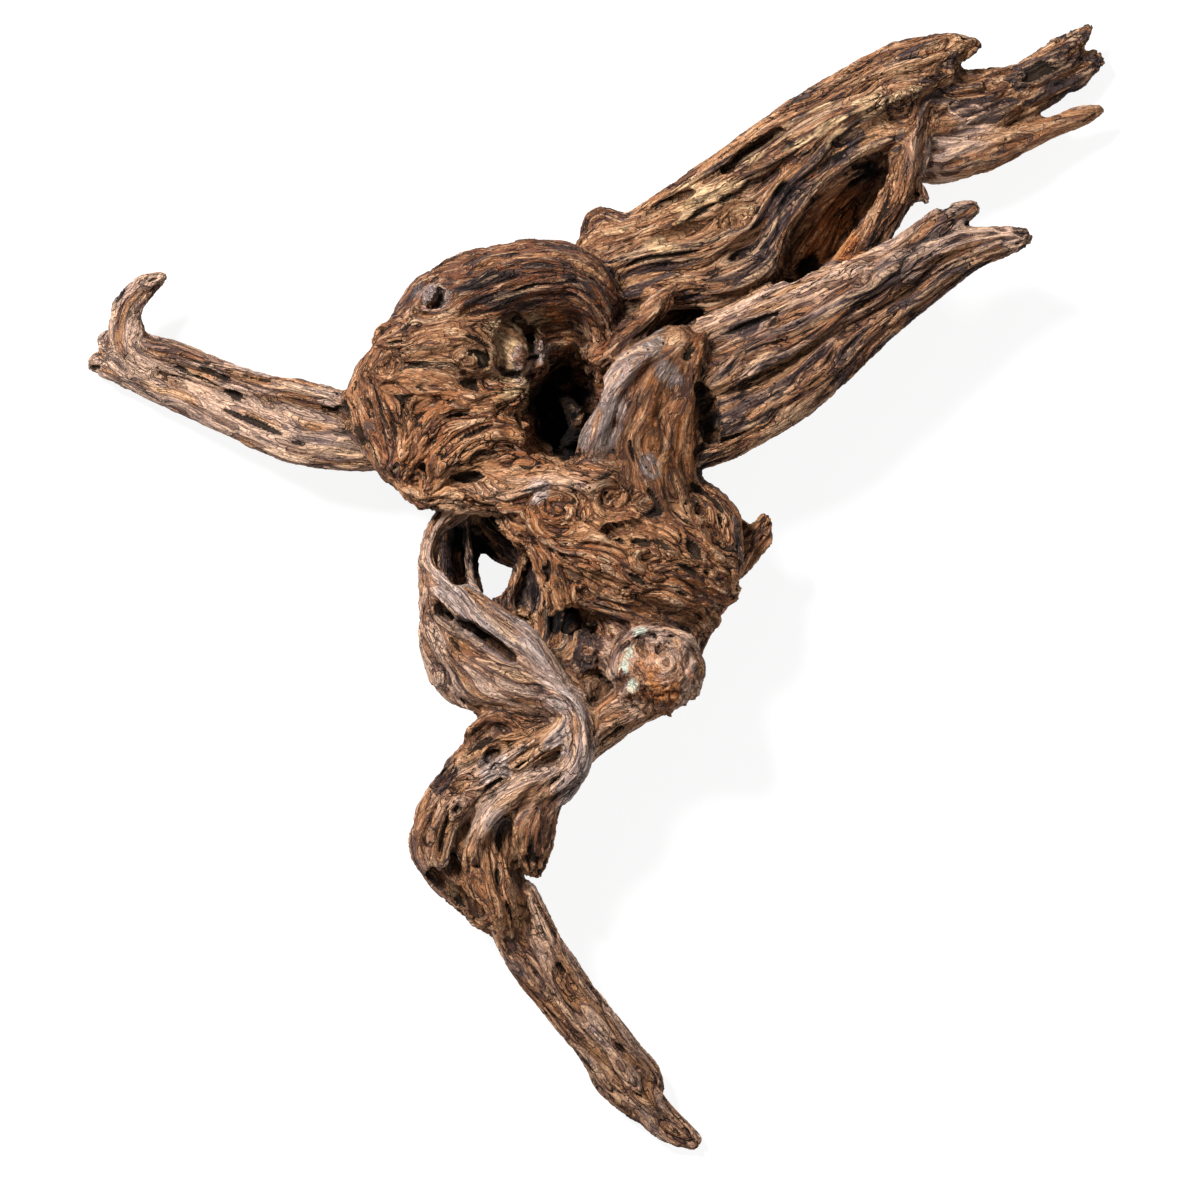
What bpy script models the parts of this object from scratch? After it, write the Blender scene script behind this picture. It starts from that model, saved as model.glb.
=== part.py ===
"""A weathered driftwood root, half a metre across, lying on its back on three worn spots.

It is one piece of wood. Strands and lobes are lofted and fused into one skin, rot then hollows it, and the
ground wears a flat on each of its three lowest spots. Tables are in millimetres. X runs to the right, Y along
the long way of the piece, and Z up from what it lies on.
"""

import math

import bpy
import numpy as np

MM = 0.001

# Heights in the tables start at the middle of the burl, which sits this far above the ground
BURL_HEIGHT = 46.0
# Where the tables' origin lies, seen from the middle of the finished piece's footprint
TABLE_X = 1.9
TABLE_Y = -5.4

# Cell size for fusing the lofts, and for the skin that is left once the hollows are cut
FUSE_VOXEL = 2.4
SKIN_VOXEL = 2.8
SKIN_TRIANGLES = 11400
SLAB_SIZE = 800.0
# How far one round of smoothing moves a point towards its neighbours
SOFTENING = 0.5
WOOD_COLOUR = (0.235, 0.125, 0.066, 1)
WOOD_ROUGHNESS = 0.78

# A strand is a list of stations: x, y, z of its middle, then its half width and its half thickness
STRANDS = {
    "arm_left_core": [
        (-80, 78, -8, 15, 15), (-105, 80, -12, 16, 15), (-132, 85, -16, 15, 14), (-156, 90, -20, 15, 14),
        (-181, 98, -26, 15, 13), (-208, 111, -32, 14, 13), (-232, 119, -36, 13, 12), (-246, 120, -36, 10, 10),
        (-254, 120, -36, 6, 6)],
    "arm_left_top": [
        (-108, 95, -8, 7, 9), (-130, 98, -9, 8, 10), (-150, 103, -12, 8, 10), (-170, 107, -16, 7, 10),
        (-190, 113, -19, 8, 10), (-212, 122, -22, 8, 10), (-230, 127, -24, 7, 9)],
    "arm_left_low": [
        (-104, 71, -12, 7, 10), (-128, 73, -13, 9, 11), (-152, 76, -15, 9, 11), (-170, 83, -18, 9, 10),
        (-190, 92, -22, 8, 10), (-212, 102, -26, 8, 9), (-236, 113, -30, 7, 8), (-251, 117, -31, 5, 4)],
    "arm_left_heel": [
        (-236, 122, -30, 10, 10), (-246, 126, -31, 8, 9), (-250, 130, -31, 5, 6), (-248, 135, -30, 2, 3)],
    "hook": [
        (-227, 118, -27, 12, 10), (-236, 127, -25, 11, 10), (-238, 140, -21, 9, 9), (-236, 149, -18, 8, 8),
        (-230, 156, -17, 7, 7), (-223, 161, -17, 5, 4), (-218, 163, -17, 3, 2)],
    "brow": [
        (2, 125, -6, 9, 12), (-2, 146, 2, 14, 22), (-12, 157, 6, 19, 28), (-32, 159, 8, 21, 32),
        (-57, 152, 8, 24, 33), (-80, 144, 6, 21, 32), (-98, 127, 2, 13, 30), (-112, 102, -2, 15, 26),
        (-107, 80, -2, 13, 24), (-98, 62, 2, 9, 18), (-94, 54, 4, 5, 9)],
    "brow_roll": [
        (3, 134, 6, 6, 12), (-2, 148, 18, 8, 14), (-14, 157, 24, 9, 15), (-34, 158, 26, 9, 16),
        (-56, 153, 26, 9, 16), (-76, 148, 24, 9, 15), (-92, 142, 16, 8, 12)],
    "temple": [
        (-106, 118, 4, 7, 15), (-108, 106, 9, 13, 19), (-100, 90, 13, 13, 19), (-96, 76, 12, 9, 14)],
    "cheek": [
        (-97, 129, 6, 13, 24), (-85, 129, 13, 21, 26), (-68, 127, 15, 22, 24), (-54, 120, 10, 14, 18)],
    "cheek_low": [
        (-108, 112, 6, 11, 20), (-90, 108, 12, 14, 21), (-70, 106, 12, 12, 20), (-54, 104, 8, 9, 16)],
    "cheek_top": [
        (-90, 135, 8, 9, 20), (-76, 138, 13, 12, 24), (-58, 136, 14, 10, 22), (-46, 134, 8, 7, 16)],
    "jaw_left": [
        (-121, 99, 0, 7, 12), (-113, 84, 8, 9, 15), (-103, 68, 10, 9, 15), (-96, 56, 10, 6, 10)],
    "jaw_middle": [
        (-44, 102, 2, 10, 16), (-64, 97, 12, 13, 20), (-84, 86, 15, 14, 20), (-93, 69, 14, 11, 17),
        (-94, 55, 13, 5, 9)],
    "jaw_right": [
        (-38, 76, 6, 12, 18), (-58, 80, 16, 15, 20), (-75, 70, 18, 14, 19), (-84, 57, 16, 8, 13)],
    "jaw_fill": [
        (-74, 60, 12, 7, 14), (-54, 65, 15, 11, 17), (-34, 66, 15, 12, 18), (-16, 64, 14, 10, 16)],
    "burl_back": [
        (-20, 132, -12, 26, 22), (-50, 124, -14, 40, 24), (-80, 108, -14, 34, 24), (-84, 86, -12, 26, 22)],
    "throat": [
        (-62, 84, -14, 22, 22), (-40, 70, -16, 26, 22), (-15, 55, -14, 34, 24), (5, 38, -12, 40, 26)],
    "cave_wall": [
        (-44, 108, -24, 16, 8), (-22, 100, -27, 22, 8), (4, 92, -26, 22, 8), (24, 90, -22, 16, 8)],
    "crown_ridge": [
        (-4, 178, -14, 7, 12), (0, 190, -12, 8, 13), (14, 186, -11, 9, 14), (30, 196, -9, 8, 15),
        (46, 207, -8, 8, 16), (61, 217, -7, 8, 17), (79, 229, -7, 9, 17), (99, 241, -7, 11, 18),
        (122, 252, -8, 14, 18), (146, 264, -10, 14, 17), (166, 271, -12, 13, 14), (179, 277, -14, 9, 9),
        (187, 279, -15, 5, 5)],
    "crown_pale": [
        (-4, 178, -8, 8, 14), (18, 183, -4, 9, 16), (38, 189, 0, 11, 18), (57, 196, 2, 12, 18),
        (69, 201, 1, 9, 14), (75, 204, -1, 4, 6)],
    "crown_middle": [
        (58, 205, -2, 6, 14), (80, 216, 2, 8, 16), (104, 230, 4, 9, 16), (128, 243, 3, 9, 15),
        (152, 253, -1, 9, 14), (172, 262, -8, 6, 10)],
    "crown_belly": [
        (-10, 155, -12, 18, 22), (20, 167, -10, 21, 23), (50, 176, -9, 21, 24), (76, 194, -9, 22, 24),
        (102, 216, -10, 21, 23), (130, 235, -12, 21, 21), (160, 244, -17, 21, 19), (190, 249, -24, 19, 17),
        (219, 260, -32, 14, 13), (238, 268, -37, 11, 11), (249, 272, -38, 7, 7)],
    "crown_sweep": [
        (-6, 143, -4, 12, 18), (25, 155, -2, 13, 18), (60, 158, 0, 12, 16), (84, 170, 2, 11, 14),
        (95, 192, 3, 9, 13), (109, 212, 3, 9, 13), (129, 226, 1, 9, 12), (150, 236, -4, 8, 10)],
    "crown_upper_sweep": [
        (0, 166, -2, 7, 14), (28, 172, 1, 8, 16), (56, 176, 3, 8, 15), (76, 188, 4, 8, 14),
        (92, 208, 4, 8, 14), (112, 224, 3, 8, 13)],
    "crown_tip": [
        (206, 257, -25, 10, 10), (225, 269, -29, 10, 9), (237, 279, -30, 8, 7), (245, 286, -30, 5, 4),
        (248, 289, -30, 3, 2)],
    "crown_rim": [
        (155, 242, -6, 12, 12), (154, 222, -4, 10, 12), (149, 204, -4, 9, 12), (138, 185, -6, 9, 12),
        (123, 166, -8, 9, 11), (108, 150, -9, 8, 10)],
    "rim_knot": [
        (150, 212, -6, 7, 9), (158, 204, -6, 6, 7), (163, 200, -6, 3, 4)],
    "crown_back": [
        (88, 158, -20, 15, 8), (104, 180, -21, 18, 8), (121, 204, -22, 19, 8), (140, 226, -23, 17, 8)],
    "crown_prong": [
        (150, 225, -14, 12, 13), (167, 223, -17, 14, 13), (184, 225, -20, 13, 12), (201, 229, -22, 10, 10),
        (216, 235, -25, 8, 8), (230, 240, -27, 6, 7), (243, 244, -29, 5, 6), (252, 248, -30, 3, 4)],
    "beam_top": [
        (24, 112, 0, 10, 15), (46, 126, 5, 13, 17), (80, 139, 9, 14, 18), (115, 154, 11, 13, 17),
        (146, 169, 11, 10, 15), (168, 186, 10, 9, 12), (185, 195, 9, 5, 6)],
    "beam_middle": [
        (25, 102, 4, 16, 19), (62, 117, 11, 16, 20), (100, 136, 13, 14, 18), (135, 156, 13, 11, 16),
        (168, 173, 11, 9, 13), (194, 180, 8, 7, 10), (210, 181, 7, 5, 6)],
    "beam_low": [
        (32, 78, 0, 18, 20), (60, 88, 4, 19, 21), (94, 105, 6, 17, 19), (124, 130, 7, 15, 17),
        (154, 154, 7, 13, 14), (184, 172, 6, 9, 11), (203, 178, 6, 7, 8), (212, 181, 6, 4, 4)],
    "beam_root": [
        (-5, 66, -14, 24, 22), (25, 84, -12, 24, 22), (60, 104, -6, 24, 20), (95, 124, -2, 20, 17)],
    "beam_web": [
        (8, 118, -14, 18, 10), (48, 143, -12, 17, 10), (92, 157, -13, 12, 9)],
    "fin": [
        (32, 20, 14, 22, 18), (27, 48, 16, 21, 18), (22, 72, 18, 21, 17), (24, 94, 21, 21, 15),
        (32, 111, 25, 19, 12), (38, 123, 27, 16, 9), (42, 130, 27, 12, 6)],
    "fin_left": [
        (-7, 66, 18, 7, 10), (0, 92, 23, 8, 12), (13, 114, 27, 8, 11), (28, 126, 29, 6, 9),
        (37, 131, 29, 3, 4)],
    "fin_right": [
        (42, 62, 12, 7, 13), (42, 84, 17, 6, 13), (44, 106, 24, 5, 11), (50, 126, 30, 4, 7),
        (52, 132, 31, 2, 3)],
    "spur": [
        (-12, 108, 2, 10, 13), (10, 128, 12, 9, 12), (24, 142, 18, 7, 9), (33, 151, 21, 5, 6),
        (38, 156, 22, 2, 3)],
    "lip": [
        (-95, 50, 14, 3, 5), (-86, 51, 16, 7, 9), (-68, 53, 18, 10, 13), (-48, 54, 20, 13, 17),
        (-24, 56, 21, 16, 19), (0, 52, 19, 19, 21)],
    "hip": [
        (-34, 42, 10, 18, 24), (-4, 32, 12, 30, 28), (28, 22, 12, 33, 28), (51, 11, 8, 22, 23),
        (62, 5, 3, 9, 12)],
    "hip_fold_upper": [
        (-30, 44, 26, 7, 10), (-6, 40, 31, 9, 10), (16, 26, 32, 9, 10), (38, 18, 27, 8, 11),
        (58, 16, 17, 6, 10)],
    "hip_fold_lower": [
        (-26, 30, 24, 7, 10), (-4, 18, 29, 8, 10), (18, 8, 29, 8, 10), (42, 2, 21, 7, 10),
        (58, -2, 10, 5, 9)],
    "fold_right": [
        (44, 58, 6, 8, 14), (59, 42, 6, 9, 15), (64, 20, 4, 9, 15), (59, 2, 2, 8, 15), (47, -15, 0, 9, 15),
        (40, -30, 0, 10, 15), (34, -44, 0, 10, 15)],
    "apron": [
        (-22, 26, 18, 14, 14), (-18, 9, 17, 14, 13), (-14, -5, 14, 12, 11), (-12, -12, 11, 8, 8)],
    "hip_hem": [
        (0, 0, 17, 8, 10), (18, -6, 17, 8, 10), (38, -9, 12, 7, 9), (50, -12, 6, 5, 7)],
    "under_hip": [
        (10, 0, -2, 22, 18), (20, -16, -2, 22, 18), (28, -34, -2, 20, 16)],
    "back_body": [
        (12, 40, -16, 38, 22), (12, 10, -16, 34, 21), (4, -24, -15, 28, 20), (-14, -52, -13, 26, 20)],
    "stub": [
        (60, 12, -6, 9, 9), (72, 24, -6, 9, 8), (80, 34, -6, 7, 6), (83, 41, -6, 4, 4)],
    "ribbon": [
        (34, 62, -14, 6, 5), (56, 50, -15, 4, 3), (76, 34, -10, 4, 3)],
    "loop_left": [
        (-66, 50, 2, 7, 11), (-80, 38, 3, 6, 11), (-86, 20, 5, 5, 12), (-85, -2, 5, 6, 13),
        (-85, -22, 3, 6, 15),
        (-79, -38, 1, 7, 16)],
    "loop_strap": [
        (-87, 18, 9, 5, 8), (-75, 5, 14, 8, 9), (-58, -8, 16, 10, 10), (-41, -20, 16, 10, 10),
        (-29, -34, 14, 9, 10), (-20, -46, 12, 8, 10)],
    "bowl": [
        (-81, -14, 0, 9, 18), (-67, -32, 2, 19, 22), (-49, -40, 4, 20, 22), (-30, -46, 3, 15, 20),
        (-14, -50, 2, 12, 16)],
    "loop_wall": [
        (-68, 52, -14, 12, 12), (-72, 30, -23, 12, 8), (-71, 8, -23, 11, 8), (-70, -14, -14, 12, 10)],
    "loop_roof": [
        (-68, 44, -20, 11, 9), (-54, 34, -23, 13, 8), (-34, 26, -22, 13, 10)],
    "loop_floor": [
        (-32, 24, -21, 8, 9), (-31, 4, -22, 11, 9), (-32, -14, -20, 11, 9), (-30, -34, -14, 11, 9)],
    "knob": [
        (16, -24, 2, 20, 19), (27, -35, 14, 22, 20), (29, -37, 24, 20, 19)],
    "knob_rim": [
        (7, -36, 18, 4, 6), (10, -24, 23, 4, 6), (19, -16, 26, 4, 6), (31, -15, 26, 4, 6),
        (43, -21, 22, 4, 6),
        (49, -32, 16, 4, 6), (47, -45, 10, 4, 6)],
    "knob_root": [
        (36, -44, 6, 11, 13), (20, -50, 9, 12, 13), (5, -58, 10, 11, 13), (-6, -70, 10, 8, 12)],
    "knob_splinter": [
        (22, -30, 24, 5, 5), (27, -42, 25, 6, 6), (31, -51, 21, 5, 5), (35, -58, 16, 2, 3)],
    "waist_front": [
        (-30, -47, 12, 8, 11), (-16, -55, 17, 10, 13), (-10, -70, 19, 9, 14), (-14, -86, 17, 8, 13),
        (-25, -98, 14, 8, 11), (-40, -106, 12, 6, 9)],
    "waist_right": [
        (30, -48, 4, 11, 13), (12, -58, 4, 10, 14), (-6, -73, 4, 8, 15), (-23, -91, 4, 9, 15),
        (-30, -111, 4, 9, 14), (-32, -127, 4, 7, 10)],
    "waist_core": [
        (-22, -46, -8, 26, 22), (-30, -68, -8, 26, 22), (-48, -94, -8, 29, 22), (-57, -118, -8, 29, 21),
        (-57, -140, -9, 20, 19), (-51, -156, -10, 14, 15)],
    "waist_left": [
        (-54, -66, 6, 6, 9), (-66, -81, 8, 8, 13), (-80, -98, 8, 8, 14), (-89, -118, 6, 6, 14),
        (-85, -133, 2, 7, 13), (-71, -147, -2, 7, 12), (-58, -159, -4, 6, 10)],
    "rope_upper": [
        (-18, -64, 20, 8, 10), (-40, -79, 21, 8, 11), (-60, -93, 19, 7, 11), (-75, -110, 15, 7, 11),
        (-80, -127, 11, 6, 9)],
    "rope_lower": [
        (-20, -86, 18, 7, 10), (-40, -95, 20, 7, 10), (-55, -107, 18, 7, 10), (-63, -125, 14, 7, 10)],
    "thigh_right": [
        (-32, -98, 12, 12, 13), (-35, -117, 11, 12, 14), (-33, -132, 7, 7, 10)],
    "thigh_middle": [
        (-60, -124, 9, 13, 13), (-53, -143, 5, 13, 14), (-48, -158, 0, 10, 12)],
    "curl": [
        (-64, -72, 8, 4, 6), (-63, -64, 12, 4, 6), (-50, -58, 14, 5, 7), (-34, -60, 15, 7, 8)],
    "curl_lower": [
        (-66, -78, 8, 3, 6), (-56, -72, 13, 4, 6), (-40, -70, 16, 5, 7), (-26, -74, 17, 6, 8)],
    "leg_core": [
        (-48, -148, -8, 14, 14), (-41, -162, -11, 12, 13), (-33, -177, -14, 11, 12), (-23, -192, -18, 11, 12),
        (-12, -206, -22, 11, 12), (-1, -221, -27, 11, 12), (10, -236, -32, 11, 12), (20, -249, -35, 10, 10),
        (31, -261, -38.5, 8, 8), (40, -270, -40.5, 8, 7), (48, -275, -41, 5, 4)],
    "leg_left": [
        (-52, -152, -6, 6, 8), (-48, -172, -8, 5, 9), (-37, -190, -12, 5, 9), (-22, -209, -19, 5, 9),
        (-8, -228, -25, 5, 9), (3, -244, -31, 7, 8), (14, -255, -34, 6, 5), (32, -270, -38, 4, 4),
        (44, -275, -40, 3, 3)],
    "leg_right": [
        (-38, -146, -4, 6, 10), (-29, -163, -7, 6, 10), (-18, -182, -12, 6, 10), (-2, -204, -19, 6, 9),
        (13, -225, -25, 6, 9), (26, -239, -31, 5, 7), (30, -250, -34, 4, 5)],
}
# Which way a strand's half thickness is measured, where it isn't up
FACING = {"knob": (0, 1, 0)}

# Hollows, as strands to be cut away, with the way their thickness is measured
ALONG_Y = (0, 1, 0)
UP = (0, 0, 1)
HOLLOWS = {
    "cave": (ALONG_Y, [(-19, 101, 60, 20, 33), (-19, 100, 30, 20, 33), (-18, 98, 8, 19, 30),
                       (-16, 96, -16, 15, 24)]),
    "cave_foot": (ALONG_Y, [(-27, 82, 60, 12, 13), (-26, 82, 20, 12, 13), (-24, 84, -4, 10, 11)]),
    "cave_rot": (ALONG_Y, [(-42, 124, 60, 12, 20), (-41, 124, 30, 11, 19), (-38, 122, 15, 9, 15)]),
    "cave_slot": (UP, [(-8, 96, 14, 12, 18), (14, 115, 15, 7, 14), (33, 131, 14, 5, 9), (46, 139, 12, 2, 5)]),
    "crown_hollow": (UP, [(95, 164, 8, 8, 14), (106, 182, 8, 13, 20), (118, 198, 6, 12, 18),
                          (131, 214, 4, 7, 12)]),
    "crown_slit_low": (UP, [(20, 191, 8, 2, 6), (33, 198, 9, 2, 7), (46, 203, 9, 2, 5)]),
    "crown_slit_high": (UP, [(62, 214, 9, 2, 6), (72, 222, 10, 3, 8), (81, 228, 10, 3, 8),
                             (90, 234, 9, 2, 5)]),
    "armpit": (UP, [(48, 106, 27, 3, 8), (53, 94, 26, 6, 12), (55, 80, 22, 4, 10)]),
    "fin_rot": (UP, [(38, 119, 38, 3, 4), (33, 104, 41, 5, 8), (30, 90, 42, 6, 9), (32, 74, 39, 4, 7)]),
    "loop_mouth": (ALONG_Y, [(-62, 25, 40, 19, 17), (-63, 24, 12, 19, 18), (-62, 23, -10, 15, 14)]),
    "loop_window": (ALONG_Y, [(-47, 7, 10, 7, 10), (-47, 7, -20, 6, 9), (-47, 7, -60, 6, 9)]),
    "loop_shade": (ALONG_Y, [(-34, 3, 40, 6, 12), (-34, 1, 10, 6, 13), (-34, -1, -6, 4, 10)]),
    "loop_slit": (UP, [(-71, -10, 18, 2, 7), (-62, -15, 18, 3, 9), (-52, -22, 18, 3, 9),
                       (-43, -29, 17, 2, 6)]),
    "pocket": (ALONG_Y, [(-14, -14, 40, 12, 10), (-15, -12, 12, 11, 10), (-16, -10, -4, 7, 7)]),
    "knob_eye": (ALONG_Y, [(31, -25, 40, 4, 3), (31, -25, 28, 4, 3), (31, -25, 23, 2, 2)]),
    "knot_hole": (ALONG_Y, [(-83, 150, 60, 9, 8), (-83, 150, 39, 8, 7), (-83, 149, 33, 6, 5)]),
    "shin_hollow": (UP, [(-84, -137, 12, 3, 8), (-72, -147, 9, 4, 9), (-60, -157, 6, 3, 7)]),
    "side_hollow": (UP, [(-88, -86, 14, 2, 6), (-80, -90, 15, 4, 8), (-74, -82, 15, 3, 6)]),
    "waist_crease": (UP, [(-58, -80, 34, 3, 9), (-44, -86, 35, 3, 9), (-30, -88, 34, 2, 8)]),
    "hip_crease": (UP, [(4, 34, 44, 4, 8), (18, 38, 44, 4, 9), (28, 46, 42, 3, 7)]),
}

# What still stands inside the hollows
INNER = {
    "rot_shell": (UP, [
        (-58, 142, 12, 4, 9), (-50, 136, 16, 7, 10), (-43, 126, 14, 8, 10), (-44, 113, 11, 7, 10),
        (-52, 101, 10, 6, 9)]),
    "rot_flake": (UP, [(-34, 142, 4, 4, 9), (-29, 130, 5, 4, 9), (-30, 118, 2, 5, 9), (-34, 106, -4, 4, 7)]),
    "cave_flake": (UP, [(-18, 100, -18, 4, 6), (-13, 94, -14, 5, 7), (-12, 86, -13, 5, 7),
                        (-16, 78, -16, 5, 7)]),
    "fin_edge": (UP, [(-6, 64, 16, 8, 12), (-3, 78, 19, 8, 13), (4, 92, 22, 7, 12), (14, 106, 25, 6, 9)]),
    "loop_back": (UP, [(-34, 36, -14, 8, 9), (-40, 15, -16, 4, 7), (-50, -6, -14, 5, 8),
                       (-62, -22, -10, 7, 10)]),
    "loop_shred": (UP, [(-68, 44, -4, 3, 5), (-66, 26, -8, 3, 5), (-64, 8, -8, 3, 5), (-58, -6, -2, 4, 6)]),
    "pocket_lump": (UP, [(-8, -36, 0, 7, 8), (-6, -27, 5, 7, 8), (-8, -19, 6, 5, 6)]),
    "knot_heart": (UP, [(-87, 144, 27, 3, 5), (-84, 150, 31, 4, 6), (-80, 156, 28, 3, 5)]),
}

RING_POINTS = 44
RING_SPACING = 4.0
DOME_STEPS = (0.0, 0.35, 0.62, 0.83, 0.95)
# The wood's ropes run along every strand, with a crease between each two
ROPE_WIDTH = 15.0
FEWEST_ROPES = 3
MOST_ROPES = 9
# A crease is this deep, or this share of a thin strand's radius
ROPE_DEPTH = 3.4
ROPE_SHARE = 0.24
# The crest's height is the sine's power, and the strand's own outline lies at this level of it
CREST_POWER = 0.6
CREST_LEVEL = 0.85
# Radians that the ropes wind round the strand in each millimetre, and sway either way as they go
ROPE_TURN = 0.010
ROPE_SWAY = 0.22
SWAY_LENGTH = 21.0
HOLLOW_SEED = 500
INNER_SEED = 700


def smooth_through(stations, spacing):
    """Points on a Catmull-Rom curve through the stations, about one every spacing, with all five values."""
    knots = np.array(stations, float)
    before = 2 * knots[0] - knots[1]
    after = 2 * knots[-1] - knots[-2]
    padded = np.vstack([before, knots, after])
    runs = []
    for i in range(len(knots) - 1):
        p0, p1, p2, p3 = padded[i:i + 4]
        steps = max(2, round(np.linalg.norm((p2 - p1)[:3]) / spacing))
        t = np.linspace(0, 1, steps, endpoint=False)[:, None]
        runs.append(0.5 * (2 * p1 + (p2 - p0) * t + (2 * p0 - 5 * p1 + 4 * p2 - p3) * t ** 2
                           + (3 * p1 - 3 * p2 + p3 - p0) * t ** 3))
    return np.vstack(runs + [knots[-1:]])


def domed(line):
    """The same line with a round cap of shrinking rings added at both ends."""
    def cap(end, inward):
        reach = min(end[3], end[4])
        rings = []
        for step in DOME_STEPS:
            ring = end.copy()
            ring[:3] -= inward * reach * (1 - step)
            ring[3:] *= math.sqrt(max(1 - (1 - step) ** 2, 0.0))
            rings.append(ring)
        return rings

    first = (line[1] - line[0])[:3]
    last = (line[-2] - line[-1])[:3]
    start = cap(line[0], first / np.linalg.norm(first))
    finish = cap(line[-1], last / np.linalg.norm(last))
    return np.vstack(start + [line] + finish[::-1])


def loft(stations, facing, seed):
    """Rings of a roped oval carried along the stations: their points and faces, closed at both ends."""
    random = np.random.default_rng(seed)
    line = domed(smooth_through(stations, RING_SPACING))
    middle = line[:, :3]
    along = np.gradient(middle, axis=0)
    along /= np.linalg.norm(along, axis=1)[:, None] + 1e-9
    across = np.cross(along, facing)
    across /= np.linalg.norm(across, axis=1)[:, None] + 1e-9
    depth = np.cross(across, along)
    run = np.concatenate([[0], np.cumsum(np.linalg.norm(np.diff(middle, axis=0), axis=1))])
    angle = np.linspace(0, 2 * math.pi, RING_POINTS, endpoint=False)
    radius = line[:, 3:].mean(axis=1)
    ropes = int(np.clip(round(2 * math.pi * radius.max() / ROPE_WIDTH), FEWEST_ROPES, MOST_ROPES))
    phase = random.uniform(0, 2 * math.pi, 2)
    turn = run * ROPE_TURN * random.choice([-1, 1]) + ROPE_SWAY * np.sin(run / SWAY_LENGTH + phase[1])
    crest = np.abs(np.sin((ropes * (angle + turn[:, None]) + phase[0]) / 2)) ** CREST_POWER
    rope = np.minimum(ROPE_DEPTH, ROPE_SHARE * radius)[:, None] * (crest - CREST_LEVEL)
    size = 1 + rope / (radius[:, None] + 1e-6)
    points = (middle[:, None]
              + across[:, None] * (line[:, 3, None] * size * np.cos(angle))[..., None]
              + depth[:, None] * (line[:, 4, None] * size * np.sin(angle))[..., None]).reshape(-1, 3)
    count = len(line)
    faces = []
    for ring in range(count - 1):
        for k in range(RING_POINTS):
            a = ring * RING_POINTS + k
            b = ring * RING_POINTS + (k + 1) % RING_POINTS
            faces.append((a, b, b + RING_POINTS, a + RING_POINTS))
    faces.append(tuple(range(RING_POINTS))[::-1])
    faces.append(tuple(range((count - 1) * RING_POINTS, count * RING_POINTS)))
    return points, faces


def object_of(name, lofts):
    """One mesh object of several lofts, moved from the tables' place to the piece's own frame, in metres."""
    points, faces = [], []
    for more_points, more_faces in lofts:
        start = sum(len(p) for p in points)
        points.append(more_points)
        faces += [tuple(i + start for i in face) for face in more_faces]
    placed = (np.vstack(points) + (TABLE_X, TABLE_Y, BURL_HEIGHT)) * MM
    mesh = bpy.data.meshes.new(name)
    mesh.from_pydata(placed.tolist(), [], faces)
    mesh.update()
    obj = bpy.data.objects.new(name, mesh)
    bpy.context.scene.collection.objects.link(obj)
    return obj


def add_remesh(obj, voxel):
    modifier = obj.modifiers.new("fuse", "REMESH")
    modifier.mode = "VOXEL"
    modifier.voxel_size = voxel * MM
    modifier.use_smooth_shade = True


def add_smooth(obj, rounds):
    modifier = obj.modifiers.new("soften", "SMOOTH")
    modifier.factor = SOFTENING
    modifier.iterations = rounds


def add_boolean(obj, other, operation):
    modifier = obj.modifiers.new(other.name, "BOOLEAN")
    modifier.operation = operation
    modifier.solver = "EXACT"
    modifier.object = other
    other.hide_render = True
    other.display_type = "WIRE"


def add_decimate(obj, triangles):
    """Thins the skin to about this many triangles, keeping the ropes' crests and creases where they are."""
    bpy.context.view_layer.update()
    skin = obj.evaluated_get(bpy.context.evaluated_depsgraph_get())
    mesh = skin.to_mesh()
    mesh.calc_loop_triangles()
    found = len(mesh.loop_triangles)
    skin.to_mesh_clear()
    modifier = obj.modifiers.new("thin", "DECIMATE")
    modifier.ratio = triangles / found
    modifier.use_collapse_triangulate = True


def wood_material():
    material = bpy.data.materials.new("weathered_wood")
    material.use_nodes = True
    shader = material.node_tree.nodes["Principled BSDF"]
    shader.inputs["Base Color"].default_value = WOOD_COLOUR
    shader.inputs["Roughness"].default_value = WOOD_ROUGHNESS
    shader.inputs["Metallic"].default_value = 0.0
    return material


def ground_slab():
    """A slab under the piece, whose top is the ground: it wears a flat on each of the three lowest spots."""
    half = SLAB_SIZE * MM / 2
    bpy.ops.mesh.primitive_cube_add(size=1, location=(0, 0, -half))
    slab = bpy.context.object
    slab.name = "ground_slab"
    slab.scale = (2 * half, 2 * half, 2 * half)
    bpy.ops.object.transform_apply(location=True, rotation=False, scale=True)
    return slab


def main():
    for obj in list(bpy.data.objects):
        bpy.data.objects.remove(obj, do_unlink=True)
    hollows = object_of("hollows", [
        loft(stations, facing, HOLLOW_SEED + i) for i, (facing, stations) in enumerate(HOLLOWS.values())])
    add_remesh(hollows, FUSE_VOXEL)
    inner = object_of("inner_pieces", [
        loft(stations, facing, INNER_SEED + i) for i, (facing, stations) in enumerate(INNER.values())])
    add_remesh(inner, FUSE_VOXEL)
    wood = object_of("driftwood", [
        loft(stations, FACING.get(name, UP), i) for i, (name, stations) in enumerate(STRANDS.items())])
    add_remesh(wood, FUSE_VOXEL)
    add_smooth(wood, 2)
    add_boolean(wood, hollows, "DIFFERENCE")
    add_boolean(wood, inner, "UNION")
    add_remesh(wood, SKIN_VOXEL)
    add_smooth(wood, 1)
    add_decimate(wood, SKIN_TRIANGLES)
    add_boolean(wood, ground_slab(), "DIFFERENCE")
    wood.data.materials.append(wood_material())
    wood.data.shade_smooth()


main()
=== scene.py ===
"""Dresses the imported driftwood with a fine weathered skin, and sets a floor, lights and a camera round it.

It is laid out as a Blender add-on and is run as a script. Every shape is computed from the tables and the
settings below, in millimetres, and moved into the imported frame, in metres.
"""

import math

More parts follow.
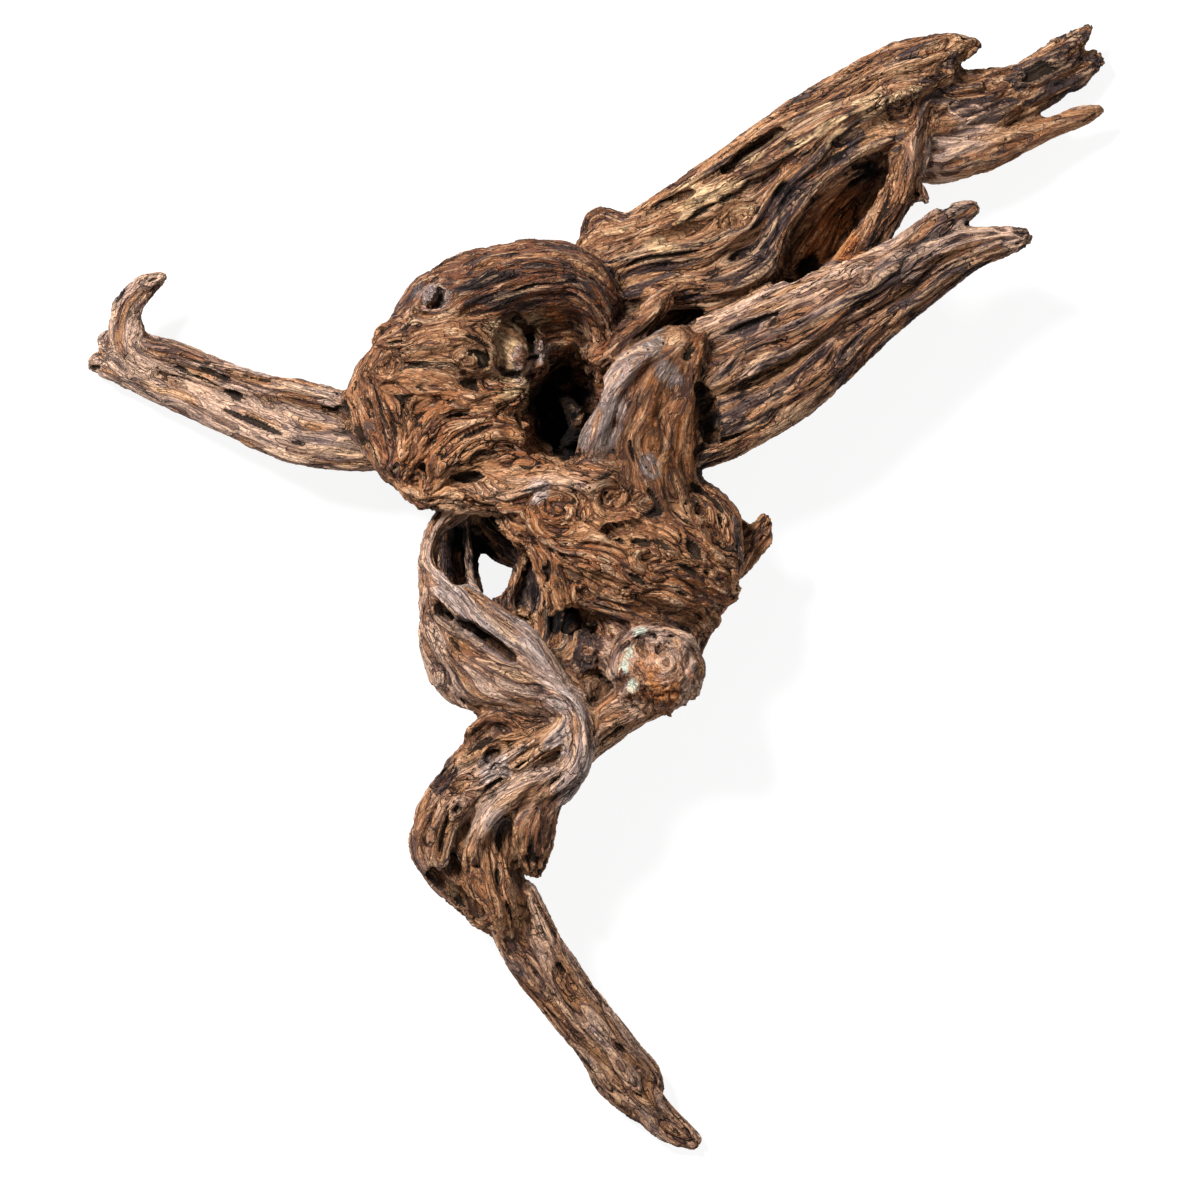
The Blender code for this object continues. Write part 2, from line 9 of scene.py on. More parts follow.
import bmesh
import bpy
import numpy as np
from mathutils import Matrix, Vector


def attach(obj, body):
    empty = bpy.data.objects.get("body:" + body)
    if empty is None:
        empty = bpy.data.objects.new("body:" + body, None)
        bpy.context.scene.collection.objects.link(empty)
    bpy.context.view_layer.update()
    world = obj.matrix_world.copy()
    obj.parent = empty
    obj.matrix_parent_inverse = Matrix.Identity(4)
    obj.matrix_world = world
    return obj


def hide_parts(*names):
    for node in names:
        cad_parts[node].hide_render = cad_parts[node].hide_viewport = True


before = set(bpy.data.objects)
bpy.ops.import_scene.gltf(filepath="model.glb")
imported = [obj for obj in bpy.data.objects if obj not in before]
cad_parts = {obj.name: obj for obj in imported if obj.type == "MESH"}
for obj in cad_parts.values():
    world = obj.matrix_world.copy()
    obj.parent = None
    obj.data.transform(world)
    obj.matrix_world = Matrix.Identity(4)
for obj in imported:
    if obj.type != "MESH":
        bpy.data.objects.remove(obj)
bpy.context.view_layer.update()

bl_info = {
    "name": "Driftwood",
    "version": (1, 0, 0),
    "blender": (4, 5, 0),
    "location": "3D View > Sidebar > Driftwood",
    "description": "Makes a weathered driftwood root from strands, hollows and a grain field",
    "category": "Add Mesh",
}

MM = 0.001
# Where the tables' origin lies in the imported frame
TABLE_PLACE = (1.9, -5.4, 46.0)
UP = (0, 0, 1)
AXES = {"y": (0, 1, 0), "z": UP}


def read_rows(text):
    """The table's rows of numbers by name, from entries of a name, a colon and rows, where commas part the
    rows and semicolons the entries."""
    entries = [entry.split(":") for entry in text.split(";")]
    return {name.strip(): [[float(value) for value in row.split()] for row in rows.split(",")]
            for name, rows in entries}


def read_strands(text):
    """The table's strands by name: the way its thickness is measured, its stations, and its finishes."""
    strands = {}
    for head, stations in read_rows(text).items():
        name, axis, *marks = head.split()
        strands[name] = (AXES[axis], stations, dict(zip(marks[::2], map(float, marks[1::2]))))
    return strands


# A strand has a name, the axis that its half thickness is measured along, any finishes with their strengths
# from 0 to 1, and stations: x, y, z of its middle, then its half width and its half thickness. Its dim finish
# is painted shade, not a colour of the wood
STRANDS = read_strands("""
arm_left_core z rough 0.25 silver 0.15 pale 0.75 smooth 0.4: -80 78 -8 15 15, -105 80 -12 16 15,
    -132 85 -16 15 14, -156 90 -20 15 14, -181 98 -26 15 13, -208 111 -32 14 13, -232 119 -36 13 12,
    -246 120 -36 10 10, -254 120 -36 6 6;
arm_left_top z rough 0.25 silver 0.4 pale 0.6 smooth 0.4: -108 95 -8 7 9, -130 98 -9 8 10,
    -150 103 -12 8 10, -170 107 -16 7 10, -190 113 -19 8 10, -212 122 -22 8 10, -230 127 -24 7 9;
arm_left_low z rough 0.25 pale 0.75 smooth 0.4: -104 71 -12 7 10, -128 73 -13 9 11, -152 76 -15 9 11,
    -170 83 -18 9 10, -190 92 -22 8 10, -212 102 -26 8 9, -236 113 -30 7 8, -251 117 -31 5 4;
arm_left_heel z rough 0.5 pale 0.75: -236 122 -30 10 10, -246 126 -31 8 9, -250 130 -31 5 6,
    -248 135 -30 2 3;
hook z rough 0.35 charred 0.15 pale 0.6 smooth 0.3: -227 118 -27 12 10, -236 127 -25 11 10,
    -238 140 -21 9 9, -236 149 -18 8 8, -230 156 -17 7 7, -223 161 -17 5 4, -218 163 -17 3 2;
brow z rough 0.35 charred 0.2 dusk 0.9 dim 0.35: 2 125 -6 9 12, -2 146 2 14 22, -12 157 6 19 28,
    -32 159 8 21 32, -57 152 8 24 33, -80 144 6 21 32, -98 127 2 13 30, -112 102 -2 15 26,
    -107 80 -2 13 24, -98 62 2 9 18, -94 54 4 5 9;
brow_roll z rough 0.2 charred 0.25 dusk 0.9 dim 0.4: 3 134 6 6 12, -2 148 18 8 14, -14 157 24 9 15,
    -34 158 26 9 16, -56 153 26 9 16, -76 148 24 9 15, -92 142 16 8 12;
temple z rough 0.7 pale 0.2: -106 118 4 7 15, -108 106 9 13 19, -100 90 13 13 19, -96 76 12 9 14;
cheek z rough 0.25: -97 129 6 13 24, -85 129 13 21 26, -68 127 15 22 24, -54 120 10 14 18;
cheek_low z rough 0.45: -108 112 6 11 20, -90 108 12 14 21, -70 106 12 12 20, -54 104 8 9 16;
cheek_top z rough 0.25 dusk 0.3: -90 135 8 9 20, -76 138 13 12 24, -58 136 14 10 22, -46 134 8 7 16;
jaw_left z rough 1 pale 0.3: -121 99 0 7 12, -113 84 8 9 15, -103 68 10 9 15, -96 56 10 6 10;
jaw_middle z rough 0.9: -44 102 2 10 16, -64 97 12 13 20, -84 86 15 14 20, -93 69 14 11 17, -94 55 13 5 9;
jaw_right z rough 0.7: -38 76 6 12 18, -58 80 16 15 20, -75 70 18 14 19, -84 57 16 8 13;
jaw_fill z rough 0.7 ruddy 0.2: -74 60 12 7 14, -54 65 15 11 17, -34 66 15 12 18, -16 64 14 10 16;
burl_back z rough 0.5: -20 132 -12 26 22, -50 124 -14 40 24, -80 108 -14 34 24, -84 86 -12 26 22;
throat z rough 0.5: -62 84 -14 22 22, -40 70 -16 26 22, -15 55 -14 34 24, 5 38 -12 40 26;
cave_wall z rough 0.5 ruddy 0.7 charred 0.6 dusk 1: -44 108 -24 16 8, -22 100 -27 22 8, 4 92 -26 22 8,
    24 90 -22 16 8;
crown_ridge z rough 0.15 charred 0.25: -4 178 -14 7 12, 0 190 -12 8 13, 14 186 -11 9 14, 30 196 -9 8 15,
    46 207 -8 8 16, 61 217 -7 8 17, 79 229 -7 9 17, 99 241 -7 11 18, 122 252 -8 14 18, 146 264 -10 14 17,
    166 271 -12 13 14, 179 277 -14 9 9, 187 279 -15 5 5;
crown_pale z rough 0.3 cream 0.35: -4 178 -8 8 14, 18 183 -4 9 16, 38 189 0 11 18, 57 196 2 12 18,
    69 201 1 9 14, 75 204 -1 4 6;
crown_middle z rough 0.15 charred 0.55 dusk 0.4: 58 205 -2 6 14, 80 216 2 8 16, 104 230 4 9 16,
    128 243 3 9 15, 152 253 -1 9 14, 172 262 -8 6 10;
crown_belly z rough 0.2 charred 0.3: -10 155 -12 18 22, 20 167 -10 21 23, 50 176 -9 21 24,
    76 194 -9 22 24, 102 216 -10 21 23, 130 235 -12 21 21, 160 244 -17 21 19, 190 249 -24 19 17,
    219 260 -32 14 13, 238 268 -37 11 11, 249 272 -38 7 7;
crown_sweep z rough 0.1 charred 0.45 dusk 0.2: -6 143 -4 12 18, 25 155 -2 13 18, 60 158 0 12 16,
    84 170 2 11 14, 95 192 3 9 13, 109 212 3 9 13, 129 226 1 9 12, 150 236 -4 8 10;
crown_upper_sweep z rough 0.1 charred 0.5: 0 166 -2 7 14, 28 172 1 8 16, 56 176 3 8 15, 76 188 4 8 14,
    92 208 4 8 14, 112 224 3 8 13;
crown_tip z rough 0.4 charred 0.5: 206 257 -25 10 10, 225 269 -29 10 9, 237 279 -30 8 7, 245 286 -30 5 4,
    248 289 -30 3 2;
crown_rim z rough 0.3 charred 0.2 dusk 0.4: 155 242 -6 12 12, 154 222 -4 10 12, 149 204 -4 9 12,
    138 185 -6 9 12, 123 166 -8 9 11, 108 150 -9 8 10;
rim_knot z rough 0.6: 150 212 -6 7 9, 158 204 -6 6 7, 163 200 -6 3 4;
crown_back z rough 0.3 ruddy 0.8 dusk 0.4: 88 158 -20 15 8, 104 180 -21 18 8, 121 204 -22 19 8,
    140 226 -23 17 8;
crown_prong z rough 0.3 ruddy 0.1 smooth 0.6: 150 225 -14 12 13, 167 223 -17 14 13, 184 225 -20 13 12,
    201 229 -22 10 10, 216 235 -25 8 8, 230 240 -27 6 7, 243 244 -29 5 6, 252 248 -30 3 4;
beam_top z rough 0.1 charred 0.1 silver 0.1 pale 0.5: 24 112 0 10 15, 46 126 5 13 17, 80 139 9 14 18,
    115 154 11 13 17, 146 169 11 10 15, 168 186 10 9 12, 185 195 9 5 6;
beam_middle z rough 0.1 charred 0.2 pale 0.45: 25 102 4 16 19, 62 117 11 16 20, 100 136 13 14 18,
    135 156 13 11 16, 168 173 11 9 13, 194 180 8 7 10, 210 181 7 5 6;
beam_low z rough 0.15 charred 0.3 pale 0.2: 32 78 0 18 20, 60 88 4 19 21, 94 105 6 17 19, 124 130 7 15 17,
    154 154 7 13 14, 184 172 6 9 11, 203 178 6 7 8, 212 181 6 4 4;
beam_root z rough 0.2 charred 0.5: -5 66 -14 24 22, 25 84 -12 24 22, 60 104 -6 24 20, 95 124 -2 20 17;
beam_web z rough 0.2 charred 0.2: 8 118 -14 18 10, 48 143 -12 17 10, 92 157 -13 12 9;
fin z rough 0.45 ruddy 0.35 charred 0.4 dusk 0.6 dim 0.9 smooth 0.7: 32 20 14 22 18, 27 48 16 21 18,
    22 72 18 21 17, 24 94 21 21 15, 32 111 25 19 12, 38 123 27 16 9, 42 130 27 12 6;
fin_left z rough 0.2 silver 0.7 pale 0.4 dim 0.3 smooth 0.9: -7 66 18 7 10, 0 92 23 8 12, 13 114 27 8 11,
    28 126 29 6 9, 37 131 29 3 4;
fin_right z rough 0.4 ruddy 0.6 charred 0.3 dusk 0.4 dim 0.6 smooth 0.5: 42 62 12 7 13, 42 84 17 6 13,
    44 106 24 5 11, 50 126 30 4 7, 52 132 31 2 3;
spur z rough 0.2 ruddy 0.3 dusk 0.5 dim 0.3: -12 108 2 10 13, 10 128 12 9 12, 24 142 18 7 9,
    33 151 21 5 6, 38 156 22 2 3;
lip z rough 0.8 silver 0.15 pale 0.25: -95 50 14 3 5, -86 51 16 7 9, -68 53 18 10 13, -48 54 20 13 17,
    -24 56 21 16 19, 0 52 19 19 21;
hip z rough 0.8: -34 42 10 18 24, -4 32 12 30 28, 28 22 12 33 28, 51 11 8 22 23, 62 5 3 9 12;
hip_fold_upper z rough 0.8: -30 44 26 7 10, -6 40 31 9 10, 16 26 32 9 10, 38 18 27 8 11, 58 16 17 6 10;
hip_fold_lower z rough 0.7: -26 30 24 7 10, -4 18 29 8 10, 18 8 29 8 10, 42 2 21 7 10, 58 -2 10 5 9;
fold_right z rough 0.6 charred 0.3: 44 58 6 8 14, 59 42 6 9 15, 64 20 4 9 15, 59 2 2 8 15, 47 -15 0 9 15,
    40 -30 0 10 15, 34 -44 0 10 15;
apron z rough 0.6 silver 0.2: -22 26 18 14 14, -18 9 17 14 13, -14 -5 14 12 11, -12 -12 11 8 8;
hip_hem z: 0 0 17 8 10, 18 -6 17 8 10, 38 -9 12 7 9, 50 -12 6 5 7;
under_hip z rough 0.5 charred 0.4: 10 0 -2 22 18, 20 -16 -2 22 18, 28 -34 -2 20 16;
back_body z rough 0.4 charred 0.2: 12 40 -16 38 22, 12 10 -16 34 21, 4 -24 -15 28 20, -14 -52 -13 26 20;
stub z rough 0.5 charred 0.3: 60 12 -6 9 9, 72 24 -6 9 8, 80 34 -6 7 6, 83 41 -6 4 4;
ribbon z cream 1 silver 0.5: 34 62 -14 6 5, 56 50 -15 4 3, 76 34 -10 4 3;
loop_left z rough 0.3 pale 0.5: -66 50 2 7 11, -80 38 3 6 11, -86 20 5 5 12, -85 -2 5 6 13,
    -85 -22 3 6 15, -79 -38 1 7 16;
loop_strap z rough 0.15 silver 0.65 pale 0.5 smooth 0.4: -87 18 9 5 8, -75 5 14 8 9, -58 -8 16 10 10,
    -41 -20 16 10 10, -29 -34 14 9 10, -20 -46 12 8 10;
bowl z rough 0.3 pale 0.6 smooth 0.5: -81 -14 0 9 18, -67 -32 2 19 22, -49 -40 4 20 22, -30 -46 3 15 20,
    -14 -50 2 12 16;
loop_wall z rough 0.3 charred 0.6: -68 52 -14 12 12, -72 30 -23 12 8, -71 8 -23 11 8, -70 -14 -14 12 10;
loop_roof z charred 0.7: -68 44 -20 11 9, -54 34 -23 13 8, -34 26 -22 13 10;
loop_floor z charred 0.4 silver 0.3: -32 24 -21 8 9, -31 4 -22 11 9, -32 -14 -20 11 9, -30 -34 -14 11 9;
knob y rough 0.55 ruddy 0.2 pale 0.6 smooth 0.5: 16 -24 2 20 19, 27 -35 14 22 20, 29 -37 24 20 19;
knob_rim z rough 0.5 silver 0.1 pale 0.7 smooth 0.4: 7 -36 18 4 6, 10 -24 23 4 6, 19 -16 26 4 6,
    31 -15 26 4 6, 43 -21 22 4 6, 49 -32 16 4 6, 47 -45 10 4 6;
knob_root z rough 0.4 ruddy 0.2 pale 0.3: 36 -44 6 11 13, 20 -50 9 12 13, 5 -58 10 11 13, -6 -70 10 8 12;
knob_splinter z ruddy 1: 22 -30 24 5 5, 27 -42 25 6 6, 31 -51 21 5 5, 35 -58 16 2 3;
waist_front z rough 0.15 silver 0.75 pale 0.5 smooth 0.4: -30 -47 12 8 11, -16 -55 17 10 13,
    -10 -70 19 9 14, -14 -86 17 8 13, -25 -98 14 8 11, -40 -106 12 6 9;
waist_right z rough 0.4 ruddy 0.15 pale 0.25: 30 -48 4 11 13, 12 -58 4 10 14, -6 -73 4 8 15,
    -23 -91 4 9 15, -30 -111 4 9 14, -32 -127 4 7 10;
waist_core z rough 0.4 charred 0.2: -22 -46 -8 26 22, -30 -68 -8 26 22, -48 -94 -8 29 22,
    -57 -118 -8 29 21, -57 -140 -9 20 19, -51 -156 -10 14 15;
waist_left z rough 0.4 pale 0.3: -54 -66 6 6 9, -66 -81 8 8 13, -80 -98 8 8 14, -89 -118 6 6 14,
    -85 -133 2 7 13, -71 -147 -2 7 12, -58 -159 -4 6 10;
rope_upper z rough 0.3 charred 0.1 pale 0.35: -18 -64 20 8 10, -40 -79 21 8 11, -60 -93 19 7 11,
    -75 -110 15 7 11, -80 -127 11 6 9;
rope_lower z rough 0.3 silver 0.25 pale 0.35: -20 -86 18 7 10, -40 -95 20 7 10, -55 -107 18 7 10,
    -63 -125 14 7 10;
thigh_right z rough 0.4: -32 -98 12 12 13, -35 -117 11 12 14, -33 -132 7 7 10;
thigh_middle z rough 0.5: -60 -124 9 13 13, -53 -143 5 13 14, -48 -158 0 10 12;
curl z rough 0.3 charred 0.3: -64 -72 8 4 6, -63 -64 12 4 6, -50 -58 14 5 7, -34 -60 15 7 8;
curl_lower z rough 0.3 cream 0.2: -66 -78 8 3 6, -56 -72 13 4 6, -40 -70 16 5 7, -26 -74 17 6 8;
leg_core z rough 0.2 pale 0.4: -48 -148 -8 14 14, -41 -162 -11 12 13, -33 -177 -14 11 12,
    -23 -192 -18 11 12, -12 -206 -22 11 12, -1 -221 -27 11 12, 10 -236 -32 11 12, 20 -249 -35 10 10,
    31 -261 -38.5 8 8, 40 -270 -40.5 8 7, 48 -275 -41 5 4;
leg_left z rough 0.2 pale 0.3: -52 -152 -6 6 8, -48 -172 -8 5 9, -37 -190 -12 5 9, -22 -209 -19 5 9,
    -8 -228 -25 5 9, 3 -244 -31 7 8, 14 -255 -34 6 5, 32 -270 -38 4 4, 44 -275 -40 3 3;
leg_right z rough 0.2 silver 0.15 pale 0.45: -38 -146 -4 6 10, -29 -163 -7 6 10, -18 -182 -12 6 10,
    -2 -204 -19 6 9, 13 -225 -25 6 9, 26 -239 -31 5 7, 30 -250 -34 4 5
""")

# Hollows, as strands to be cut away
HOLLOWS = read_strands("""
cave y: -19 101 60 20 33, -19 100 30 20 33, -18 98 8 19 30, -16 96 -16 15 24;
cave_foot y: -27 82 60 12 13, -26 82 20 12 13, -24 84 -4 10 11;
cave_rot y: -42 124 60 12 20, -41 124 30 11 19, -38 122 15 9 15;
cave_slot z: -8 96 14 12 18, 14 115 15 7 14, 33 131 14 5 9, 46 139 12 2 5;
crown_hollow z: 95 164 8 8 14, 106 182 8 13 20, 118 198 6 12 18, 131 214 4 7 12;
crown_slit_low z: 20 191 8 2 6, 33 198 9 2 7, 46 203 9 2 5;
crown_slit_high z: 62 214 9 2 6, 72 222 10 3 8, 81 228 10 3 8, 90 234 9 2 5;
armpit z: 48 106 27 3 8, 53 94 26 6 12, 55 80 22 4 10;
fin_rot z: 38 119 38 3 4, 33 104 41 5 8, 30 90 42 6 9, 32 74 39 4 7;
loop_mouth y: -62 25 40 19 17, -63 24 12 19 18, -62 23 -10 15 14;
loop_window y: -47 7 10 7 10, -47 7 -20 6 9, -47 7 -60 6 9;
loop_shade y: -34 3 40 6 12, -34 1 10 6 13, -34 -1 -6 4 10;
loop_slit z: -71 -10 18 2 7, -62 -15 18 3 9, -52 -22 18 3 9, -43 -29 17 2 6;
pocket y: -14 -14 40 12 10, -15 -12 12 11 10, -16 -10 -4 7 7;
knob_eye y: 31 -25 40 4 3, 31 -25 28 4 3, 31 -25 23 2 2;
knot_hole y: -83 150 60 9 8, -83 150 39 8 7, -83 149 33 6 5;
shin_hollow z: -84 -137 12 3 8, -72 -147 9 4 9, -60 -157 6 3 7;
side_hollow z: -88 -86 14 2 6, -80 -90 15 4 8, -74 -82 15 3 6;
waist_crease z: -58 -80 34 3 9, -44 -86 35 3 9, -30 -88 34 2 8;
hip_crease z: 4 34 44 4 8, 18 38 44 4 9, 28 46 42 3 7
""")

# What still stands inside the hollows. The last two are the scene's own: a higher floor in the knob's eye,
# and wood that closes a gap under the loop
INNER = read_strands("""
rot_shell z: -58 142 12 4 9, -50 136 16 7 10, -43 126 14 8 10, -44 113 11 7 10, -52 101 10 6 9;
rot_flake z: -34 142 4 4 9, -29 130 5 4 9, -30 118 2 5 9, -34 106 -4 4 7;
cave_flake z: -18 100 -18 4 6, -13 94 -14 5 7, -12 86 -13 5 7, -16 78 -16 5 7;
fin_edge z: -6 64 16 8 12, -3 78 19 8 13, 4 92 22 7 12, 14 106 25 6 9;
loop_back z: -34 36 -14 8 9, -40 15 -16 4 7, -50 -6 -14 5 8, -62 -22 -10 7 10;
loop_shred z: -68 44 -4 3 5, -66 26 -8 3 5, -64 8 -8 3 5, -58 -6 -2 4 6;
pocket_lump z: -8 -36 0 7 8, -6 -27 5 7 8, -8 -19 6 5 6;
knot_heart z: -87 144 27 3 5, -84 150 31 4 6, -80 156 28 3 5;
eye_floor y: 31 -25 24 3 3, 31 -25 31 4 4;
window_sill z: -52 -1 -14 4 5, -44 -5 -14 4 5, -36 -8 -14 4 5
""")

# Local tints seen from above: places x, y and a radius. The dim spots are painted shade, in the cave and
# beside the fin
TINT_SPOTS = read_rows("""
lichen: 14 -24 4.5, 12 -34 4, 20 -17 3, 17 -42 3;
dim: -13 82 9, 4 60 7, 52 96 8, 54 84 8;
cream: -42 132 9, -48 122 9, -44 110 8, -34 140 6, 50 193 13, 66 199 10, 30 180 8, -38 101 6, -50 134 6,
    96 228 8, 114 238 8, 132 248 8, 150 256 8, 80 218 7;
ruddy: 112 182 9, 118 196 8, 124 176 7, 25 -38 6, 28 -46 6, 34 70 8, 40 88 6, 19 111 9, 33 95 9,
    -24 140 6;
silver: 6 96 9, 2 84 9, 14 110 8, -83 150 8, -30 52 6, -20 -70 8, -28 124 7, -44 124 9, -40 112 7,
    24 66 6, 32 114 6, 28 126 8, 38 108 5, -53 -84 8, -51 -110 6;
charred: 96 222 11, 80 214 9, 120 238 9, 212 268 12, 196 256 9, 228 262 9, 240 258 7, 120 116 10,
    150 150 9, 176 166 7, 50 66 8, -80 -88 7, 68 132 9, 132 148 9, 46 92 6, 24 92 4, 20 168 8, 44 170 8,
    -8 -30 8, -6 -20 6;
pale: 166 180 16, 190 187 14, 206 182 10, 178 196 10, 150 166 10, 168 224 14, 184 238 12, -70 -40 12;
smooth: -42 122 13, 176 230 16, 192 240 10, 192 184 10, 28 -36 9;
dusk: -8 -32 8, -6 -24 7, -40 150 12, -14 152 10, 10 150 8
""")

# Other places seen from above: gashes, with half their width, cut in and painted black as shade; the cave,
# whose lower part is painted black as shadow; other hollows, painted black as shadow as far as they are
# closed in; and, with x, y, z and a radius, where the grain turns round
PLACES = read_rows("""
gash: -211 115 1.4, -196 114 1.9, -190 111 1.6, -184 103 1.6, -241 153 1.2, -175 113 1.1, -168 111 1.1,
    -135 94 1.3, -120 81 1.8, -127 95 1.6, -152 79 1.5, -60 -16 1.5, -72 -22 1.2, 168 262 1.6,
    172 196 1.4, 186 188 1.3, -98 100 1.8, -102 84 1.5, -90 92 1.4, -60 72 1.6, -36 66 1.3, 46 14 1.8,
    30 28 1.5, 8 30 1.4, -50 -120 1.6, -36 -132 1.5, -72 -104 1.4, 10 -226 1.2, -20 -186 1.3, 64 200 1.8,
    90 204 1.7;
cave: -26 100 11, -22 86 11, -14 79 9, -10 104 7;
deep: 126 214 6, 134 216 5, 104 168 6, 108 188 4, -26 100 11, -22 86 11, -14 78 8, -10 104 7, -20 114 7,
    -62 22 9, -70 30 7, -18 -10 8, -26 4 8;
swirl: -83 150 34 13, -62 118 34 11, 34 -30 44 9, -108 116 24 9, -22 44 40 14, 6 50 40 9, 24 22 42 10,
    150 248 10 12, -14 130 40 10, -70 -104 24 8, 47 46 20 8, -8 4 34 10, 130 160 20 9, 70 190 14 9,
    26 78 44 12, 37 106 40 8
""")

RING_POINTS = 72
RING_SPACING = 2.0
DOME_STEPS = (0.0, 0.12, 0.25, 0.4, 0.55, 0.7, 0.83, 0.93, 0.98)
# The wood's ropes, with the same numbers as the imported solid's
ROPE_WIDTH = 15.0
FEWEST_ROPES = 3
MOST_ROPES = 9
ROPE_DEPTH = 3.4
ROPE_SHARE = 0.24
CREST_POWER = 0.6
CREST_LEVEL = 0.85
ROPE_TURN = 0.010
ROPE_SWAY = 0.22
SWAY_LENGTH = 21.0
HOLLOW_SEED = 500
INNER_SEED = 700
# Rounds of smoothing after the strands are fused, and on the finished skin
FUSE_SOFTENING = 2
SKIN_SOFTENING = 3


# Lofted strands

def smooth_through(stations, spacing):
    """Points on a Catmull-Rom curve through the stations, about one every spacing, with all five values."""
    knots = np.array(stations, float)
    before = 2 * knots[0] - knots[1]
    after = 2 * knots[-1] - knots[-2]
    padded = np.vstack([before, knots, after])
    runs = []
    for i in range(len(knots) - 1):
        p0, p1, p2, p3 = padded[i:i + 4]
        steps = max(2, round(np.linalg.norm((p2 - p1)[:3]) / spacing))
        t = np.linspace(0, 1, steps, endpoint=False)[:, None]
        runs.append(0.5 * (2 * p1 + (p2 - p0) * t + (2 * p0 - 5 * p1 + 4 * p2 - p3) * t ** 2
                           + (3 * p1 - 3 * p2 + p3 - p0) * t ** 3))
    return np.vstack(runs + [knots[-1:]])


def domed(line):
    """The same line with a round cap of shrinking rings at both ends, on a circle's profile."""
    def cap(end, inward):
        reach = min(end[3], end[4])
        rings = []
        for step in DOME_STEPS:
            ring = end.copy()
            ring[:3] -= inward * reach * (1 - step)
            ring[3:] *= math.sqrt(max(1 - (1 - step) ** 2, 0.0))
            rings.append(ring)
        return rings

    first = (line[1] - line[0])[:3]
    last = (line[-2] - line[-1])[:3]
    start = cap(line[0], first / np.linalg.norm(first))
    finish = cap(line[-1], last / np.linalg.norm(last))
    return np.vstack(start + [line] + finish[::-1])


def unit(vectors):
    """The same vectors at length one."""
    return vectors / (np.linalg.norm(vectors, axis=-1, keepdims=True) + 1e-9)


def loft(stations, facing, seed):
    """A tube of ovals along the stations, closed at both ends. Its radius swells and sinks as the power of a
    sine of the angle round it, so ropes run along it, and they wind slowly as they go."""
    random = np.random.default_rng(seed)
    line = domed(smooth_through(stations, RING_SPACING))
    middle = line[:, :3]
    along = unit(np.gradient(middle, axis=0))
    across = unit(np.cross(along, facing))
    depth = np.cross(across, along)
    run = np.concatenate([[0], np.cumsum(np.linalg.norm(np.diff(middle, axis=0), axis=1))])
    angle = np.linspace(0, 2 * math.pi, RING_POINTS, endpoint=False)
    radius = line[:, 3:].mean(axis=1)
    ropes = int(np.clip(round(2 * math.pi * radius.max() / ROPE_WIDTH), FEWEST_ROPES, MOST_ROPES))
    phase = random.uniform(0, 2 * math.pi, 2)
    turn = run * ROPE_TURN * random.choice([-1, 1]) + ROPE_SWAY * np.sin(run / SWAY_LENGTH + phase[1])
    crest = np.abs(np.sin((ropes * (angle + turn[:, None]) + phase[0]) / 2)) ** CREST_POWER
    rope = np.minimum(ROPE_DEPTH, ROPE_SHARE * radius)[:, None] * (crest - CREST_LEVEL)
    size = 1 + rope / (radius[:, None] + 1e-6)
    points = (middle[:, None]
              + across[:, None] * (line[:, 3, None] * size * np.cos(angle))[..., None]
              + depth[:, None] * (line[:, 4, None] * size * np.sin(angle))[..., None]).reshape(-1, 3)
    rings, ring = np.meshgrid(np.arange(len(line) - 1), np.arange(RING_POINTS), indexing="ij")
    a = rings * RING_POINTS + ring
    b = rings * RING_POINTS + (ring + 1) % RING_POINTS
    sides = np.stack([a, b, b + RING_POINTS, a + RING_POINTS], axis=-1).reshape(-1, 4)
    last = len(line) - 1
    caps = [list(range(RING_POINTS))[::-1], list(range(last * RING_POINTS, (last + 1) * RING_POINTS))]
    return points, sides.tolist() + caps


def modify(obj, kind, **settings):
    modifier = obj.modifiers.new(kind.lower(), kind)
    for key, value in settings.items():
        setattr(modifier, key, value)


def remesh(obj, voxel):
    modify(obj, "REMESH", mode="VOXEL", voxel_size=voxel * MM, use_smooth_shade=True)


def soften(obj, rounds):
    modify(obj, "SMOOTH", factor=0.5, iterations=rounds)


def combine(obj, other, operation):
    modify(obj, "BOOLEAN", operation=operation, solver="MANIFOLD", object=other)


def grown(name, strands, seed, voxel):
    """One object of the strands, each lofted with a seed of its own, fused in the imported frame's metres."""
    points, faces, start = [], [], 0
    for i, (facing, stations, _) in enumerate(strands.values()):
        more_points, more_faces = loft(stations, facing, seed + i)
        points.append(more_points)
        faces += [[corner + start for corner in face] for face in more_faces]
        start += len(more_points)
    mesh = bpy.data.meshes.new(name)
    mesh.from_pydata(((np.vstack(points) + TABLE_PLACE) * MM).tolist(), [], faces)
    obj = bpy.data.objects.new(name, mesh)
    bpy.context.scene.collection.objects.link(obj)
    remesh(obj, voxel)
    return obj


def grow_skin(shape):
    """The fused wood as one fine mesh, still without its surface detail."""
    hollows = grown("hollows", HOLLOWS, HOLLOW_SEED, shape.fuse_voxel)
    inner = grown("inner_pieces", INNER, INNER_SEED, shape.fuse_voxel)
    wood = grown("wood", STRANDS, 0, shape.fuse_voxel)
    soften(wood, FUSE_SOFTENING)
    combine(wood, hollows, "DIFFERENCE")
    combine(wood, inner, "UNION")
    remesh(wood, shape.skin_voxel)
    soften(wood, SKIN_SOFTENING)
    graph = bpy.context.evaluated_depsgraph_get()
    skin = bpy.data.meshes.new_from_object(wood.evaluated_get(graph))
    for obj in (wood, inner, hollows):
        bpy.data.objects.remove(obj)
    return skin


# Noise and grain

# The lattice's hash: a prime for each axis and one for the seed, then shifts and factors that mix the bits
AXIS_PRIMES = (73856093, 19349663, 83492791)
SEED_PRIME = 2654435761
MIXERS = ((15, 2246822519), (13, 3266489917))
LAST_SHIFT = 16
SLOPE_BITS = 10
SLOPES = 2 ** SLOPE_BITS
NOISE_SCALE = 1 / 400
NOISE_BLOCK = 65536


